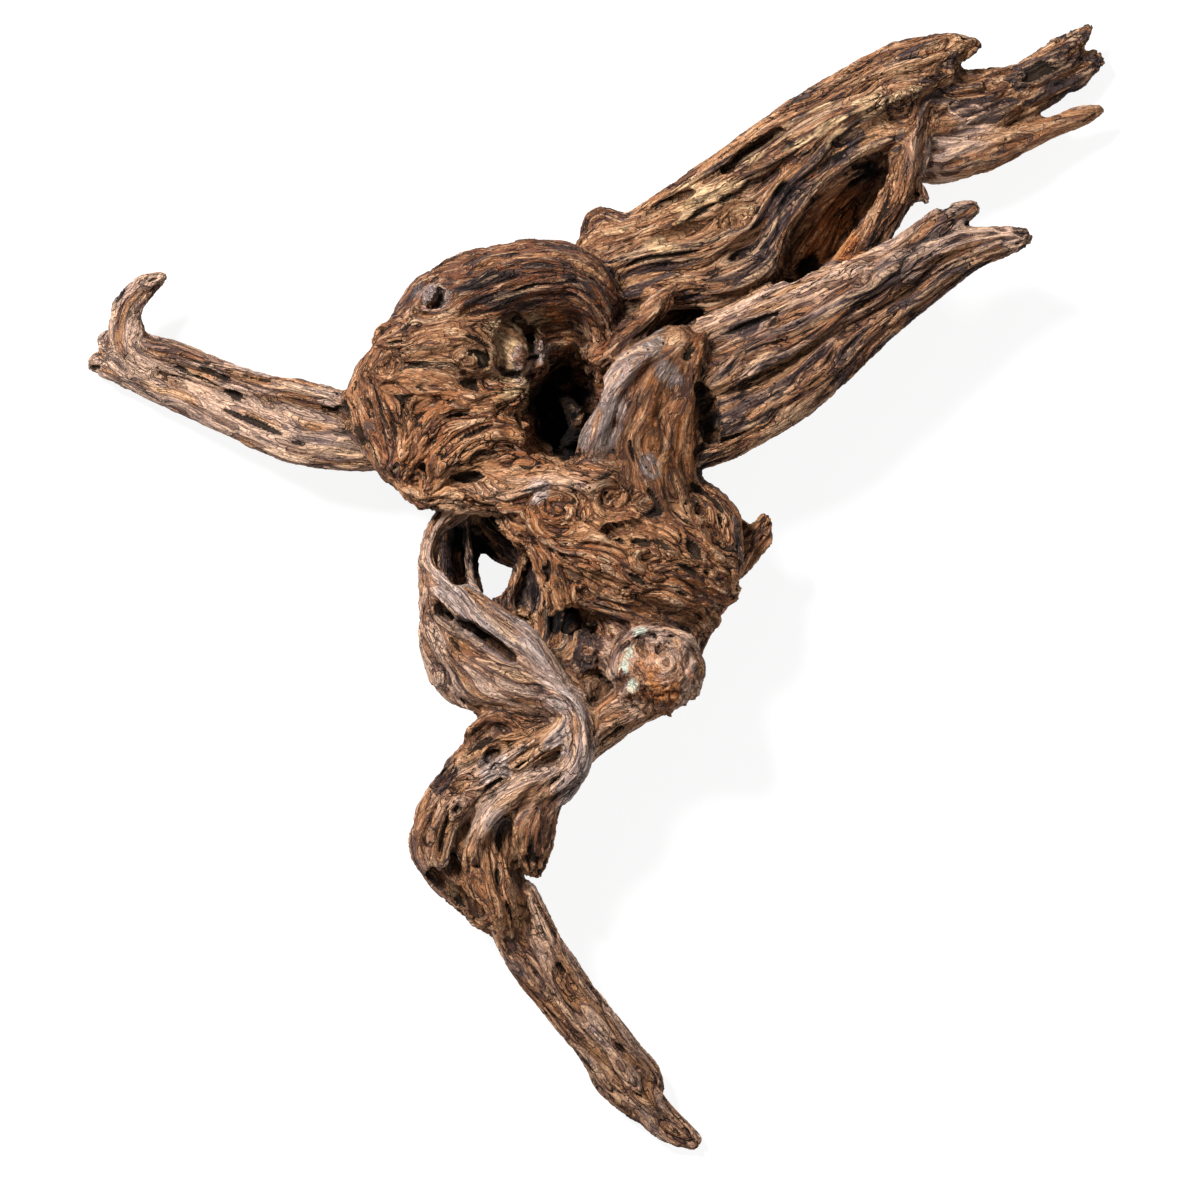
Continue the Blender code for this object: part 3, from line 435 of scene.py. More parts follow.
def side(part, upper):
    """The share of a cell's upper or lower side at a place from 0 to 1 in the cell."""
    return part if upper else 1 - part


def lattice_noise(points, wavelength, seed):
    """Gradient noise in space: each lattice corner has a random slope, and the eight round a point are
    blended by the smoothed place in their cell. It runs from about -1 to 1."""
    out = np.empty(len(points), np.float32)
    for start in range(0, len(points), NOISE_BLOCK):
        block = slice(start, start + NOISE_BLOCK)
        scaled = (points[block] / np.float32(wavelength)).astype(np.float32)
        base = np.floor(scaled)
        part = scaled - base
        corner = base.astype(np.int64).astype(np.uint32)
        ease = part * part * part * (part * (part * 6 - 15) + 10)
        hashed = [[(corner[:, axis] + np.uint32(k)) * np.uint32(prime) for k in (0, 1)]
                  for axis, prime in enumerate(AXIS_PRIMES)]
        total = np.zeros(len(scaled), np.float32)
        for z, y, x in np.ndindex(2, 2, 2):
            mixed = hashed[0][x] ^ hashed[1][y] ^ hashed[2][z] ^ np.uint32(seed * SEED_PRIME % 2 ** 32)
            for shift, factor in MIXERS:
                mixed ^= mixed >> np.uint32(shift)
                mixed *= np.uint32(factor)
            mixed ^= mixed >> np.uint32(LAST_SHIFT)
            slope = 0
            for axis, upper in enumerate((x, y, z)):
                bits = mixed >> np.uint32(SLOPE_BITS * axis) & np.uint32(SLOPES - 1)
                slope = slope + (bits.astype(np.float32) - (SLOPES - 1) / 2) * (part[:, axis] - upper)
            total += slope * (side(ease[:, 0], x) * side(ease[:, 1], y) * side(ease[:, 2], z))
        out[block] = total * np.float32(NOISE_SCALE)
    return out


def ramp(values, low, high):
    """0 below low, 1 above high, and a smooth step between."""
    t = np.clip((values - low) / (high - low), 0, 1)
    return t * t * (3 - 2 * t)


GRAIN_CELL = 3.0
GRAIN_MARGIN = 9.0
GRAIN_REACH = 4.0
GRAIN_SPACING = 4.0
CURL_WAVELENGTH = 26.0
CURL_SEED = 40
CURL_STRENGTH = 6
SWIRL_STRENGTH = 3.0
# How much of its last direction a step along the fibres keeps
STEADINESS = 0.05
# The strands' finishes; dim among them is painted shade, not a colour of the wood
FINISHES = ("rough", "silver", "charred", "ruddy", "cream", "pale", "dusk", "dim", "smooth")
# The grid's channels: the tensor's six terms, the direction, and the finishes
TENSOR_TERMS = ((0, 0), (1, 1), (2, 2), (0, 1), (0, 2), (1, 2))
TENSOR = slice(0, 6)
DIRECTION = slice(6, 9)
STYLE = slice(9, 9 + len(FINISHES))


class Grain:
    """The way the fibres run at any point: a grid of cells, each holding the mean of the strands' directions
    as a tensor, and beside it the mean of their finishes."""

    def __init__(self, swirl):
        lines = [smooth_through(stations, GRAIN_SPACING) for _, stations, _ in STRANDS.values()]
        every = np.vstack(lines)
        self.low = every[:, :3].min(axis=0) - every[:, 3:].max() - GRAIN_MARGIN
        high = every[:, :3].max(axis=0) + every[:, 3:].max() + GRAIN_MARGIN
        self.dims = np.ceil((high - self.low) / GRAIN_CELL).astype(int) + 1
        sums = np.zeros((*self.dims, STYLE.stop + 1), np.float32)
        for line, (_, _, finish) in zip(lines, STRANDS.values()):
            self.add_strand(sums, line, finish)
        self.values = sums[..., :-1] / (sums[..., -1:] + 1e-12)
        cells = self.cell_points(np.zeros(3, int), self.dims)
        curl = np.stack([lattice_noise(cells, CURL_WAVELENGTH, CURL_SEED + k) for k in range(3)], axis=1)
        curl = curl.reshape(*self.dims, 3)
        strength = swirl * (0.35 + self.values[..., STYLE.start])
        for k, (i, j) in enumerate(TENSOR_TERMS):
            self.values[..., k] += strength * curl[..., i] * curl[..., j] * CURL_STRENGTH
        for *centre, radius in PLACES["swirl"]:
            offset = cells - np.array(centre, np.float32)
            around = unit(np.cross(np.array(UP, np.float32), offset)).reshape(*self.dims, 3)
            near = SWIRL_STRENGTH * np.exp(-((offset ** 2).sum(axis=1) / radius ** 2).reshape(self.dims))
            for k, (i, j) in enumerate(TENSOR_TERMS):
                self.values[..., k] += near * around[..., i] * around[..., j]
        self.values = self.values.reshape(-1, STYLE.stop)

    def cell_points(self, first, last):
        axes = [np.arange(first[k], last[k]) * GRAIN_CELL + self.low[k] for k in range(3)]
        return np.stack(np.meshgrid(*axes, indexing="ij"), axis=-1).reshape(-1, 3).astype(np.float32)

    def add_strand(self, sums, line, finish):
        """Adds a strand to the cells round it. A cell's weight falls off as the bell curve of how far it lies
        outside the strand's oval."""
        middle, half = line[:, :3], line[:, 3:]
        along = unit(np.gradient(middle, axis=0))
        across = unit(np.cross(along, UP))
        depth = np.cross(across, along)
        reach = half.max(axis=1, keepdims=True) + GRAIN_MARGIN
        first = np.maximum(((middle - reach).min(axis=0) - self.low) // GRAIN_CELL, 0).astype(int)
        last = np.ceil(((middle + reach).max(axis=0) - self.low) / GRAIN_CELL)
        last = np.minimum(last, self.dims).astype(int)
        cells = self.cell_points(first, last)
        spots = middle.astype(np.float32)
        nearest = ((spots ** 2).sum(axis=1) - 2 * cells @ spots.T).argmin(axis=1)
        offset = cells - spots[nearest]
        wide, thick = half[nearest, 0], half[nearest, 1]
        a = (offset * across[nearest]).sum(axis=1) / wide
        b = (offset * depth[nearest]).sum(axis=1) / thick
        ahead = np.abs((offset * along[nearest]).sum(axis=1))
        outside = np.maximum((np.hypot(a, b) - 1) * (wide + thick) / 2, 0)
        gap = np.hypot(outside, np.maximum(ahead - GRAIN_SPACING, 0))
        weight = np.exp(-(gap / GRAIN_REACH) ** 2)
        way = along[nearest]
        values = np.concatenate([
            np.stack([way[:, i] * way[:, j] for i, j in TENSOR_TERMS], axis=1), way,
            np.tile([finish.get(key, 0.0) for key in FINISHES], (len(way), 1)),
            np.ones((len(way), 1))], axis=1) * weight[:, None]
        block = tuple(slice(first[k], last[k]) for k in range(3))
        sums[block] += values.reshape(*(last - first), -1)

    def at(self, points, channels):
        """The grid's values at points, blended between the eight cells round each."""
        place = (points - self.low.astype(np.float32)) / GRAIN_CELL
        place = np.clip(place, 0, self.dims - 1.001).astype(np.float32)
        base = place.astype(np.int32)
        part = place - base
        flat = (base[:, 0] * self.dims[1] + base[:, 1]) * self.dims[2] + base[:, 2]
        out = np.zeros((len(points), channels.stop - channels.start), np.float32)
        table = self.values[:, channels]
        for i, j, k in np.ndindex(2, 2, 2):
            weight = side(part[:, 0], i) * side(part[:, 1], j) * side(part[:, 2], k)
            out += weight[:, None] * table[flat + (i * self.dims[1] + j) * self.dims[2] + k]
        return out

    def follow(self, points, way, step):
        """One step along the fibres. The tensor turns the last direction towards its own main one."""
        t = self.at(points, TENSOR)
        x, y, z = way.T
        turned = np.stack([t[:, 0] * x + t[:, 3] * y + t[:, 4] * z,
                           t[:, 3] * x + t[:, 1] * y + t[:, 5] * z,
                           t[:, 4] * x + t[:, 5] * y + t[:, 2] * z], axis=1)
        way = unit(turned + STEADINESS * way).astype(np.float32)
        return points + way * np.float32(step), way

    def on_surface(self, points, normals):
        """The fibres' direction in the surface: the main axis of the tensor seen in the tangent plane."""
        t = self.at(points, slice(0, DIRECTION.stop))
        sideways = np.abs(normals[:, :1]) > 0.7
        first = unit(np.cross(normals, np.where(sideways, (0.0, 1.0, 0.0), (1.0, 0.0, 0.0))))
        second = np.cross(normals, first)

        def through(u, v):
            return (t[:, 0] * u[:, 0] * v[:, 0] + t[:, 1] * u[:, 1] * v[:, 1] + t[:, 2] * u[:, 2] * v[:, 2]
                    + t[:, 3] * (u[:, 0] * v[:, 1] + u[:, 1] * v[:, 0])
                    + t[:, 4] * (u[:, 0] * v[:, 2] + u[:, 2] * v[:, 0])
                    + t[:, 5] * (u[:, 1] * v[:, 2] + u[:, 2] * v[:, 1]))

        angle = 0.5 * np.arctan2(2 * through(first, second), through(first, first) - through(second, second))
        way = np.cos(angle)[:, None] * first + np.sin(angle)[:, None] * second
        sign = np.sign((way * t[:, DIRECTION]).sum(axis=1, keepdims=True) + 1e-6)
        return (way * sign).astype(np.float32)


def streaks(grain, points, way, layers, step, steps):
    """Noise drawn out along the fibres: for each layer (wavelength, half length, seed) the mean of the noise
    at points a step apart both ways, under a bell-shaped window, brought to a spread of one."""
    totals = [np.zeros(len(points), np.float32) for _ in layers]
    for sign in (1, -1):
        here, ahead = points, way * sign
        for k in range(steps + 1):
            if k:
                here, ahead = grain.follow(here, ahead, step)
            for total, (wavelength, length, seed) in zip(totals, layers):
                share = 0.5 + 0.5 * math.cos(math.pi * min(k * step / length, 1))
                share *= 0.5 if k == 0 else 1
                if share > 0.02:
                    total += np.float32(share) * lattice_noise(here, wavelength, seed)
    return [(total - total.mean()) / total.std() for total in totals]


# Mesh arrays

def read(items, field, width=1, kind=np.float32):
    """One field of all of a mesh's points, edges, corners or faces, as an array."""
    values = np.empty(len(items) * width, kind)
    items.foreach_get(field, values)
    return values.reshape(-1, width) if width > 1 else values


def keep(mesh, name, values, kind="FLOAT"):
    """Stores an attribute with a value or a vector for each point."""
    attribute = mesh.attributes.new(name, kind, "POINT")
    field = "vector" if kind == "FLOAT_VECTOR" else "value"
    attribute.data.foreach_set(field, values.astype(np.float32).ravel())


def blurred(values, ends, rounds):
    """The values after some rounds, each of which moves a point's value half way to the mean of those at the
    points that share an edge with it."""
    a, b = ends.T
    degree = np.bincount(ends.ravel(), minlength=len(values)).astype(np.float32)
    for _ in range(rounds):
        means = [(np.bincount(a, column[b], len(column)) + np.bincount(b, column[a], len(column))) / degree
                 for column in values.T]
        values = 0.5 * values + 0.5 * np.stack(means, axis=1).astype(np.float32)
    return values


GASH_STRETCH = 3.0


def near_spots(points, spots, way=None):
    """How strongly each point belongs to the spots, seen from above: the highest of their bell curves of
    distance, where a spot is a place x, y and a radius. Given the fibres' way, the bells are drawn out
    along it."""
    best = np.zeros(len(points), np.float32)
    if way is not None:
        flat = way[:, :2] / (np.hypot(way[:, 0], way[:, 1])[:, None] + 0.2)
    for x, y, radius in spots:
        a, b = points[:, 0] - x, points[:, 1] - y
        if way is not None:
            a, b = (a * flat[:, 0] + b * flat[:, 1]) / GASH_STRETCH, a * flat[:, 1] - b * flat[:, 0]
        best = np.maximum(best, np.exp(-(a ** 2 + b ** 2) / radius ** 2))
    return best


# Cell for measuring how enclosed a place is, how many points fill one, and the rounds of blur with how far
# ahead of the skin each is read
ENCLOSURE_CELL = 3.0
ENCLOSURE_MARGIN = 40.0
FULL_CELL = 8.0
ENCLOSURE_REACHES = ((2, 7.0), (8, 12.0))
# How closed in a place must be for painted shade to come in, and for the closed-in hollows to be painted
# black as shadow
SHUT_RANGE = (0.14, 0.38)
DEEP_RANGE = (0.10, 0.18)


def enclosure(points, normals):
    """How closely wood stands round each point: the share of surface in the cells that its normal looks at,
    blurred over two reaches, and averaged between them."""
    low = points.min(axis=0) - ENCLOSURE_MARGIN
    dims = np.ceil((points.max(axis=0) + ENCLOSURE_MARGIN - low) / ENCLOSURE_CELL).astype(int)
    cell = ((points - low) / ENCLOSURE_CELL).astype(int)
    flat = (cell[:, 0] * dims[1] + cell[:, 1]) * dims[2] + cell[:, 2]
    filled = np.minimum(np.bincount(flat, minlength=dims.prod()) / FULL_CELL, 1.0)
    filled = filled.astype(np.float32).reshape(dims)
    total = np.zeros(len(points), np.float32)
    for rounds, reach in ENCLOSURE_REACHES:
        spread = filled
        for _ in range(rounds):
            for axis in range(3):
                spread = (np.roll(spread, 1, axis) + spread + np.roll(spread, -1, axis)) / 3
        ahead = ((points + normals * reach - low) / ENCLOSURE_CELL).astype(int)
        total += spread[ahead[:, 0], ahead[:, 1], ahead[:, 2]]
    return total / len(ENCLOSURE_REACHES)


# Weathering

# Streaked layers, each with a wavelength, a half length and a seed, and their step and number of steps
SHORT_STREAKS = ([(2.6, 9.0, 11), (5.2, 14.0, 12)], 1.4, 10)
LONG_STREAKS = ([(3.4, 34.0, 14), (7.5, 44.0, 15), (6.0, 20.0, 21), (17.0, 44.0, 22)], 2.4, 18)
# Unstreaked noises, each with a wavelength and a seed
LUMPS = (12.0, 31)
CRUMBS = (3.2, 32)
BROAD_PATCHES = (34.0, 33)
# How high on a streaked noise its ridges go flat
CREST_TOPS = {"rib": 0.75, "ridge": 0.9, "line": 0.7, "fine": 0.8}
# For each tint, the strengths at which it begins and is full, and how streaky its edge is
TINT_EDGES = {
    "silver": (0.3, 0.85, 0.25), "charred": (0.45, 0.62, 1.1), "ruddy": (0.2, 0.8, 0.5),
    "cream": (0.25, 0.7, 0.8), "pale": (0.1, 0.9, 0.5), "dusk": (0.1, 0.9, 0.5), "lichen": (0.45, 0.6, 0.8),
    "smooth": (0.1, 0.9, 0.2), "deep": (0.15, 0.5, 0.2), "dim": (0.1, 0.9, 0.3),
}
# Rounds of blur and depths in millimetres by which a place counts as sunk in and gets painted shade, and the
# height below which the cave is painted black as shadow
HOLLOW_ROUNDS = 60
HOLLOW_RANGE = (0.1, 2.4)
CAVE_LEVEL = 12


def crests(streak, top):
    """Ridges with a sharp crease along each zero line of a streaked noise: its distance from nought, cut off
    flat at the top, from -1 in the crease to 0 on the flat."""
    return np.minimum(np.abs(streak), top) / top - 1


def relief(shape, grain, points, normals, style):
    """The surface detail's height in millimetres, and the masks that colour it.

    Calm strands get long flat-topped ribs and lines, rough ones short ridges, lumps and pits. Layers are
    streaked noise cut into steps. Slits open where the long noise is lowest, pits where the short one is."""
    worn = 1 - 0.75 * np.maximum(style[:, -1], near_spots(points, TINT_SPOTS["smooth"]))
    rough = ramp(style[:, 0], 0.15, 0.75)
    calm = 1 - rough
    way = grain.on_surface(points, normals)
    fine, ridge = streaks(grain, points, way, *SHORT_STREAKS)
    line, rib, layer, tone = streaks(grain, points, way, *LONG_STREAKS)
    lump, small, patch = (lattice_noise(points, *noise) for noise in (LUMPS, CRUMBS, BROAD_PATCHES))
    height = shape.ridge_depth * worn * (calm * crests(rib, CREST_TOPS["rib"])
                                         + (0.1 + 0.9 * rough) * crests(ridge, CREST_TOPS["ridge"]))
    height += shape.fine_depth * worn * (calm * crests(line, CREST_TOPS["line"])
                                         + (0.4 + 0.6 * rough) * crests(fine, CREST_TOPS["fine"]))
    height += shape.lump_depth * rough * lump
    stepped = 1.25 * (calm * layer + rough * (0.5 * layer + 0.7 * ridge)) + 0.35 * small + 0.25 * fine
    level = np.floor(stepped)
    height += shape.layer_depth * (0.6 + 0.8 * rough) * (level + ramp(stepped - level, 0.76, 1.0))
    slit = ramp(-rib, 1.6, 2.0) * ramp(patch + 0.2 * tone, -0.2, 0.2) * (0.2 + 0.8 * calm)
    pit = ramp(-ridge, 1.4, 1.9) * ramp(rough + 0.4 * patch, 0.15, 0.7)
    gap = np.maximum(slit, pit)
    gash = near_spots(points, PLACES["gash"], way)
    height -= shape.crack_depth * np.maximum(gap, 0.7 * ramp(gash, 0.3, 0.7))
    crest = (calm * (0.4 * np.abs(rib) + 0.35 * np.abs(line)) + rough * 0.65 * np.abs(ridge)
             + 0.2 * np.abs(fine))
    masks = {
        "ridge": np.clip(0.62 * crest, 0, 1), "gap": np.clip(gap, 0, 1), "gash": gash, "rough": rough,
        "tone": np.clip(0.5 + 0.24 * tone + 0.24 * patch, 0, 1), "patch": patch, "steps": stepped,
        "rib_field": rib, "ridge_field": ridge, "line_field": line, "fine_field": fine,
    }
    return height, masks, way, layer, tone


def weather(skin, shape):
    """Moves each point along its normal by the relief, and keeps the masks as attributes of the mesh."""
    points = read(skin.vertices, "co", 3) / np.float32(MM) - np.array(TABLE_PLACE, np.float32)
    normals = read(skin.vertex_normals, "vector", 3)
    grain = Grain(shape.swirl)
    style = grain.at(points, STYLE)
    height, masks, way, layer, tone = relief(shape, grain, points, normals, style)
    # Painted shade: how far each place sinks below its blurred surroundings, and how closed in it is, both
    # darken the wood's colour
    smooth = blurred(points, read(skin.edges, "vertices", 2, np.int32), HOLLOW_ROUNDS)
    sunk = ((smooth - points) * normals).sum(axis=1)
    masks["hollow"] = ramp(sunk, *HOLLOW_RANGE) * (1 - 0.6 * style[:, -1])
    closed = enclosure(points, normals)
    masks["shut_shade"] = ramp(closed, *SHUT_RANGE)
    points = points + normals * height[:, None]
    points[:, 2] = np.maximum(points[:, 2], -TABLE_PLACE[2])
    skin.vertices.foreach_set("co", ((points + TABLE_PLACE) * MM).astype(np.float32).ravel())
    skin.update()
    tints = dict(zip(FINISHES[1:], style[:, 1:].T))
    for name, spots in TINT_SPOTS.items():
        tints[name] = np.maximum(tints.get(name, 0), near_spots(points, spots) * (1 + 0.3 * layer))
    # Painted shadow: the cave's lower faces that don't face down, and the closed-in hollows, are painted
    # black
    below = ramp(CAVE_LEVEL - points[:, 2], 0, 8) * ramp(normals[:, 2], -0.5, -0.1)
    tints["deep"] = np.maximum(near_spots(points, PLACES["deep"]) * ramp(closed, *DEEP_RANGE),
                               near_spots(points, PLACES["cave"]) * below)
    for name, (low, high, streaked) in TINT_EDGES.items():
        masks[name] = ramp(tints[name] * (1 + streaked * layer + 0.4 * streaked * tone), low, high)
    for name, values in masks.items():
        keep(skin, name, values)
    keep(skin, "grain", way, "FLOAT_VECTOR")
    keep(skin, "skin_normal", read(skin.vertex_normals, "vector", 3), "FLOAT_VECTOR")


# Pieces

class Skin:
    """The grown and weathered skin, kept from the operator that grows it for the one that cuts the pieces."""
    mesh = None


def cut_piece(name, planes):
    """The part of the skin that lies on the inner side of each plane (a point and the way that is cut off),
    with each cut closed by a flat cap. Its normals stay those of the whole skin, so no seam shows."""
    work = bmesh.new()
    work.from_mesh(Skin.mesh)
    for point, outward in planes:
        at = (Vector(point) + Vector(TABLE_PLACE)) * MM
        found = bmesh.ops.bisect_plane(work, geom=work.verts[:] + work.edges[:] + work.faces[:], dist=1e-7,
                                       plane_co=at, plane_no=outward, clear_outer=True)
        rim = [item for item in found["geom_cut"]
               if isinstance(item, bmesh.types.BMEdge) and item.is_boundary]
        made = bmesh.ops.triangle_fill(work, edges=rim, normal=outward)
        for face in made["geom"]:
            if isinstance(face, bmesh.types.BMFace):
                face.smooth = False
    bmesh.ops.recalc_face_normals(work, faces=work.faces[:])
    mesh = bpy.data.meshes.new(name)
    work.to_mesh(mesh)
    work.free()
    keep_normals(mesh)
    obj = bpy.data.objects.new(name, mesh)
    bpy.context.scene.collection.objects.link(obj)
    return obj


def keep_normals(mesh):
    """Gives each corner of the skin the normal that its point had in the whole, and each cap its own."""
    stored = unit(read(mesh.attributes["skin_normal"].data, "vector", 3))
    face_of = np.repeat(np.arange(len(mesh.polygons)), read(mesh.polygons, "loop_total", kind=np.int32))
    on_cap = ~read(mesh.polygons, "use_smooth", kind=bool)[face_of]
    normals = stored[read(mesh.loops, "vertex_index", kind=np.int32)]
    normals[on_cap] = read(mesh.polygons, "normal", 3)[face_of[on_cap]]
    mesh.normals_split_custom_set(normals.tolist())
    mesh.attributes.remove(mesh.attributes["skin_normal"])


# Materials

class Nodes:
    """Short ways to add and join the nodes of one material."""

    def __init__(self, tree):
        self.tree = tree

    def set(self, socket, value):
        if isinstance(value, bpy.types.NodeSocket):
            self.tree.links.new(value, socket)
        else:
            socket.default_value = value

    def add(self, kind, settings=None, **inputs):
        node = self.tree.nodes.new(kind)
        for key, value in (settings or {}).items():
            setattr(node, key, value)
        for key, value in inputs.items():
            self.set(node.inputs[key], value)
        return node

    def fill(self, kind, settings, values):
        """The first output of a new node, with its inputs set in order."""
        node = self.add(kind, settings)
        for socket, value in zip(node.inputs, values):
            self.set(socket, value)
        return node.outputs[0]

    def math(self, operation, *values):
        return self.fill("ShaderNodeMath", {"operation": operation}, values)

    def chain(self, operation, first, *others):
        """All the values, joined one after another by an operation that takes two."""
        for other in others:
            first = self.math(operation, first, other)
        return first

    def times(self, *values):
        return self.chain("MULTIPLY", *values)

    def most(self, *values):
        return self.chain("MAXIMUM", *values)

    def scaled(self, value, factor, offset):
        """The value times the factor, plus the offset."""
        return self.math("MULTIPLY_ADD", value, factor, offset)

    def away(self, value, centre):
        """How far the value is from the centre."""
        return self.math("ABSOLUTE", self.math("SUBTRACT", value, centre))

    def spread(self, value, low, high, to_low=0.0, to_high=1.0):
        return self.fill("ShaderNodeMapRange", {}, (value, low, high, to_low, to_high))

    def mix(self, share, a, b, blend="MIX"):
        node = self.add("ShaderNodeMix", {"data_type": "RGBA", "blend_type": blend})
        for index, value in ((0, share), (6, a), (7, b)):
            self.set(node.inputs[index], value)
        return node.outputs[2]

    def attribute(self, name, output="Fac"):
        return self.add("ShaderNodeAttribute", {"attribute_name": name}).outputs[output]

    def scale(self, vector, factor):
        node = self.add("ShaderNodeVectorMath", {"operation": "SCALE"}, Vector=vector, Scale=factor)
        return node.outputs[0]

    def noise(self, place, width, detail=0.0):
        """Noise whose blobs are about width millimetres across."""
        node = self.add("ShaderNodeTexNoise", Vector=place, Scale=1 / (width * MM), Detail=detail)
        return node.outputs["Fac"]

    def borings(self, place, spacing, radius):
        """Round insect holes: 1 within the radius, a share of the spacing in millimetres, of some of the
        scattered points of a cell pattern, and 0 elsewhere."""
        node = self.add("ShaderNodeTexVoronoi", Vector=place, Scale=1 / (spacing * MM))
        red = self.add("ShaderNodeSeparateColor", Color=node.outputs["Color"]).outputs[0]
        chosen = self.math("GREATER_THAN", red, 0.6)
        return self.times(chosen, self.spread(node.outputs["Distance"], radius, 0.6 * radius))

    def groove(self, field, width, wobble):
        """1 along each zero line of a streaked field, to within a width in the field's own units, else 0."""
        return self.spread(self.math("ABSOLUTE", self.scaled(wobble, 0.5, field)), width, 0.3 * width)

    def fibres(self, place, grain, width, pitch, reach):
        """Noise drawn out along the grain: the mean of the noise at points a pitch apart both ways."""
        steps = [self.scale(grain, k * pitch * MM) for k in range(-reach, reach + 1)]
        spots = [self.fill("ShaderNodeVectorMath", {"operation": "ADD"}, (place, step)) for step in steps]
        total = self.chain("ADD", *(self.noise(spot, width) for spot in spots))
        return self.spread(total, 0.42 * len(spots), 0.58 * len(spots))


# How wide the groove along each streaked field's zero lines is, where shade is painted dark, and the places
# on each step where shade is painted under its broken edge and a highlight on its rim
GROOVE_WIDTHS = {"rib_field": 0.2, "ridge_field": 0.26, "line_field": 0.2, "fine_field": 0.22}
STEP_EDGE = 0.78
STEP_RIM = 0.93
# How bright the wood is outside and inside each mask: painted shade over the dim strands and spots, in
# hollows, in closed-in places, and black in the cave's depth
SHADES = {"dim": (1.0, 0.45), "hollow": (1.08, 0.4), "shut_shade": (1.0, 0.4), "deep": (1.0, 0.04)}
HOLE_SPACING = 9.0
HOLE_RADIUS = 0.1
BUMP_DEPTH = 0.75
SHINE = 0.15


class WoodNodes(Nodes):
    """The fields of weathered wood, and the creases, colours and shades mixed from them."""

    def __init__(self, tree, colours):
        super().__init__(tree)
        self.colours = colours
        self.place = self.add("ShaderNodeTexCoord").outputs["Object"]
        grain = self.attribute("grain", "Vector")
        self.fine = self.fibres(self.place, grain, 0.7, 0.5, 4)
        self.coarse = self.fibres(self.place, grain, 1.7, 1.1, 4)
        self.ridge, self.rough, self.tone = (self.attribute(name) for name in ("ridge", "rough", "tone"))
        self.wobble = self.scaled(self.coarse, 0.5, self.scaled(self.fine, 0.4, -0.45))
        self.steps = self.scaled(self.wobble, 0.3, self.attribute("steps"))
        self.part = self.math("FRACT", self.steps)
        self.thread = self.spread(self.away(self.coarse, 0.5), 0.0, 0.14)
        self.hair = self.spread(self.away(self.fine, 0.5), 0.0, 0.2)
        self.height = self.scaled(self.coarse, 0.3, self.times(self.ridge, 0.8))
        self.holes = self.borings(self.place, HOLE_SPACING, HOLE_RADIUS)

    def creases(self):
        """1 in cracks, between ridges and under the edges of steps, where the colour gets painted shade and
        the bump goes in. Smooth strands have fewer.
        """
        calm = self.math("SUBTRACT", 1.0, self.rough)
        shares = {"rib_field": self.spread(calm, 0.0, 1.0, 0.2, 1.0),
                  "ridge_field": self.spread(self.rough, 0.0, 1.0, 0.2, 1.0),
                  "line_field": self.times(calm, 0.8),
                  "fine_field": self.spread(self.rough, 0.0, 1.0, 0.35, 0.7)}
        grooves = [self.times(self.groove(self.attribute(name), GROOVE_WIDTHS[name], self.wobble), share)
                   for name, share in shares.items()]
        grooves.append(self.times(self.spread(self.away(self.part, STEP_EDGE), 0.09, 0.03), 0.9))
        crease = self.times(self.most(*grooves), self.spread(self.attribute("smooth"), 0.0, 1.0, 1.0, 0.3),
                            self.spread(self.noise(self.place, 15.0, 2.0), 0.38, 0.6, 0.3, 1.0))
        gap = self.spread(self.scaled(self.wobble, 0.8, self.attribute("gap")), 0.35, 0.55)
        gash = self.spread(self.math("ADD", self.attribute("gash"), self.wobble), 0.4, 0.6)
        return self.most(crease, self.most(gap, gash))

    def colour(self):
        """The wood's colour: layers by the tone and the steps, then each tint over it, then worn edges, which
        are partly wear and partly painted highlight on ridge tops and step rims.
        """
        c = self.colours
        phase = self.scaled(self.attribute("patch"), 0.9, 0.6)
        level = self.math("SINE", self.scaled(self.math("FLOOR", self.steps), 2.1, phase))
        level = self.times(self.scaled(level, 0.5, 0.5), 0.42)
        body = self.math("ADD", self.scaled(self.tone, 0.45, level), self.times(self.coarse, 0.18))
        colour = self.mix(self.spread(body, 0.15, 0.5), c.plum[:], c.brown[:])
        colour = self.mix(self.spread(body, 0.45, 0.9), colour, c.tan[:])
        amber = self.times(self.rough, self.spread(self.tone, 0.2, 0.8, 0.9, 0.3))
        colour = self.mix(amber, colour, c.amber[:], "MULTIPLY")
        charred = self.spread(self.scaled(self.wobble, 0.7, self.attribute("charred")), 0.35, 0.6)
        ruddy = self.attribute("ruddy")
        track = self.math("SUBTRACT", self.times(self.noise(self.place, 5.0, 1.0), 8.0), 4.0)
        track = self.times(self.groove(track, 0.22, self.wobble), self.spread(ruddy, 0.15, 0.5), 0.8)
        tints = (
            (self.times(self.attribute("pale"), self.spread(body, 0.1, 0.6, 0.45, 0.95)),
             self.spread(body, 0.3, 0.9), c.ash, c.bleached),
            (self.attribute("dusk"), self.spread(body, 0.2, 0.8), c.char, c.dusk),
            (self.times(charred, self.spread(self.ridge, 0.3, 1.0, 1.0, 0.75)), self.coarse, c.char, c.plum),
            (ruddy, self.spread(self.height, 0.3, 0.8), c.rust, c.ruddy),
            (self.times(self.attribute("silver"), self.spread(self.fine, 0.0, 1.0, 0.6, 1.0)),
             self.coarse, c.ash, c.silver),
            (self.attribute("cream"), self.coarse, c.straw, c.cream),
            (self.attribute("lichen"), 0.0, c.lichen, c.lichen),
            (track, self.tone, c.rust, c.ruddy),
        )
        for share, light, darker, lighter in tints:
            colour = self.mix(share, colour, self.mix(light, darker[:], lighter[:]))
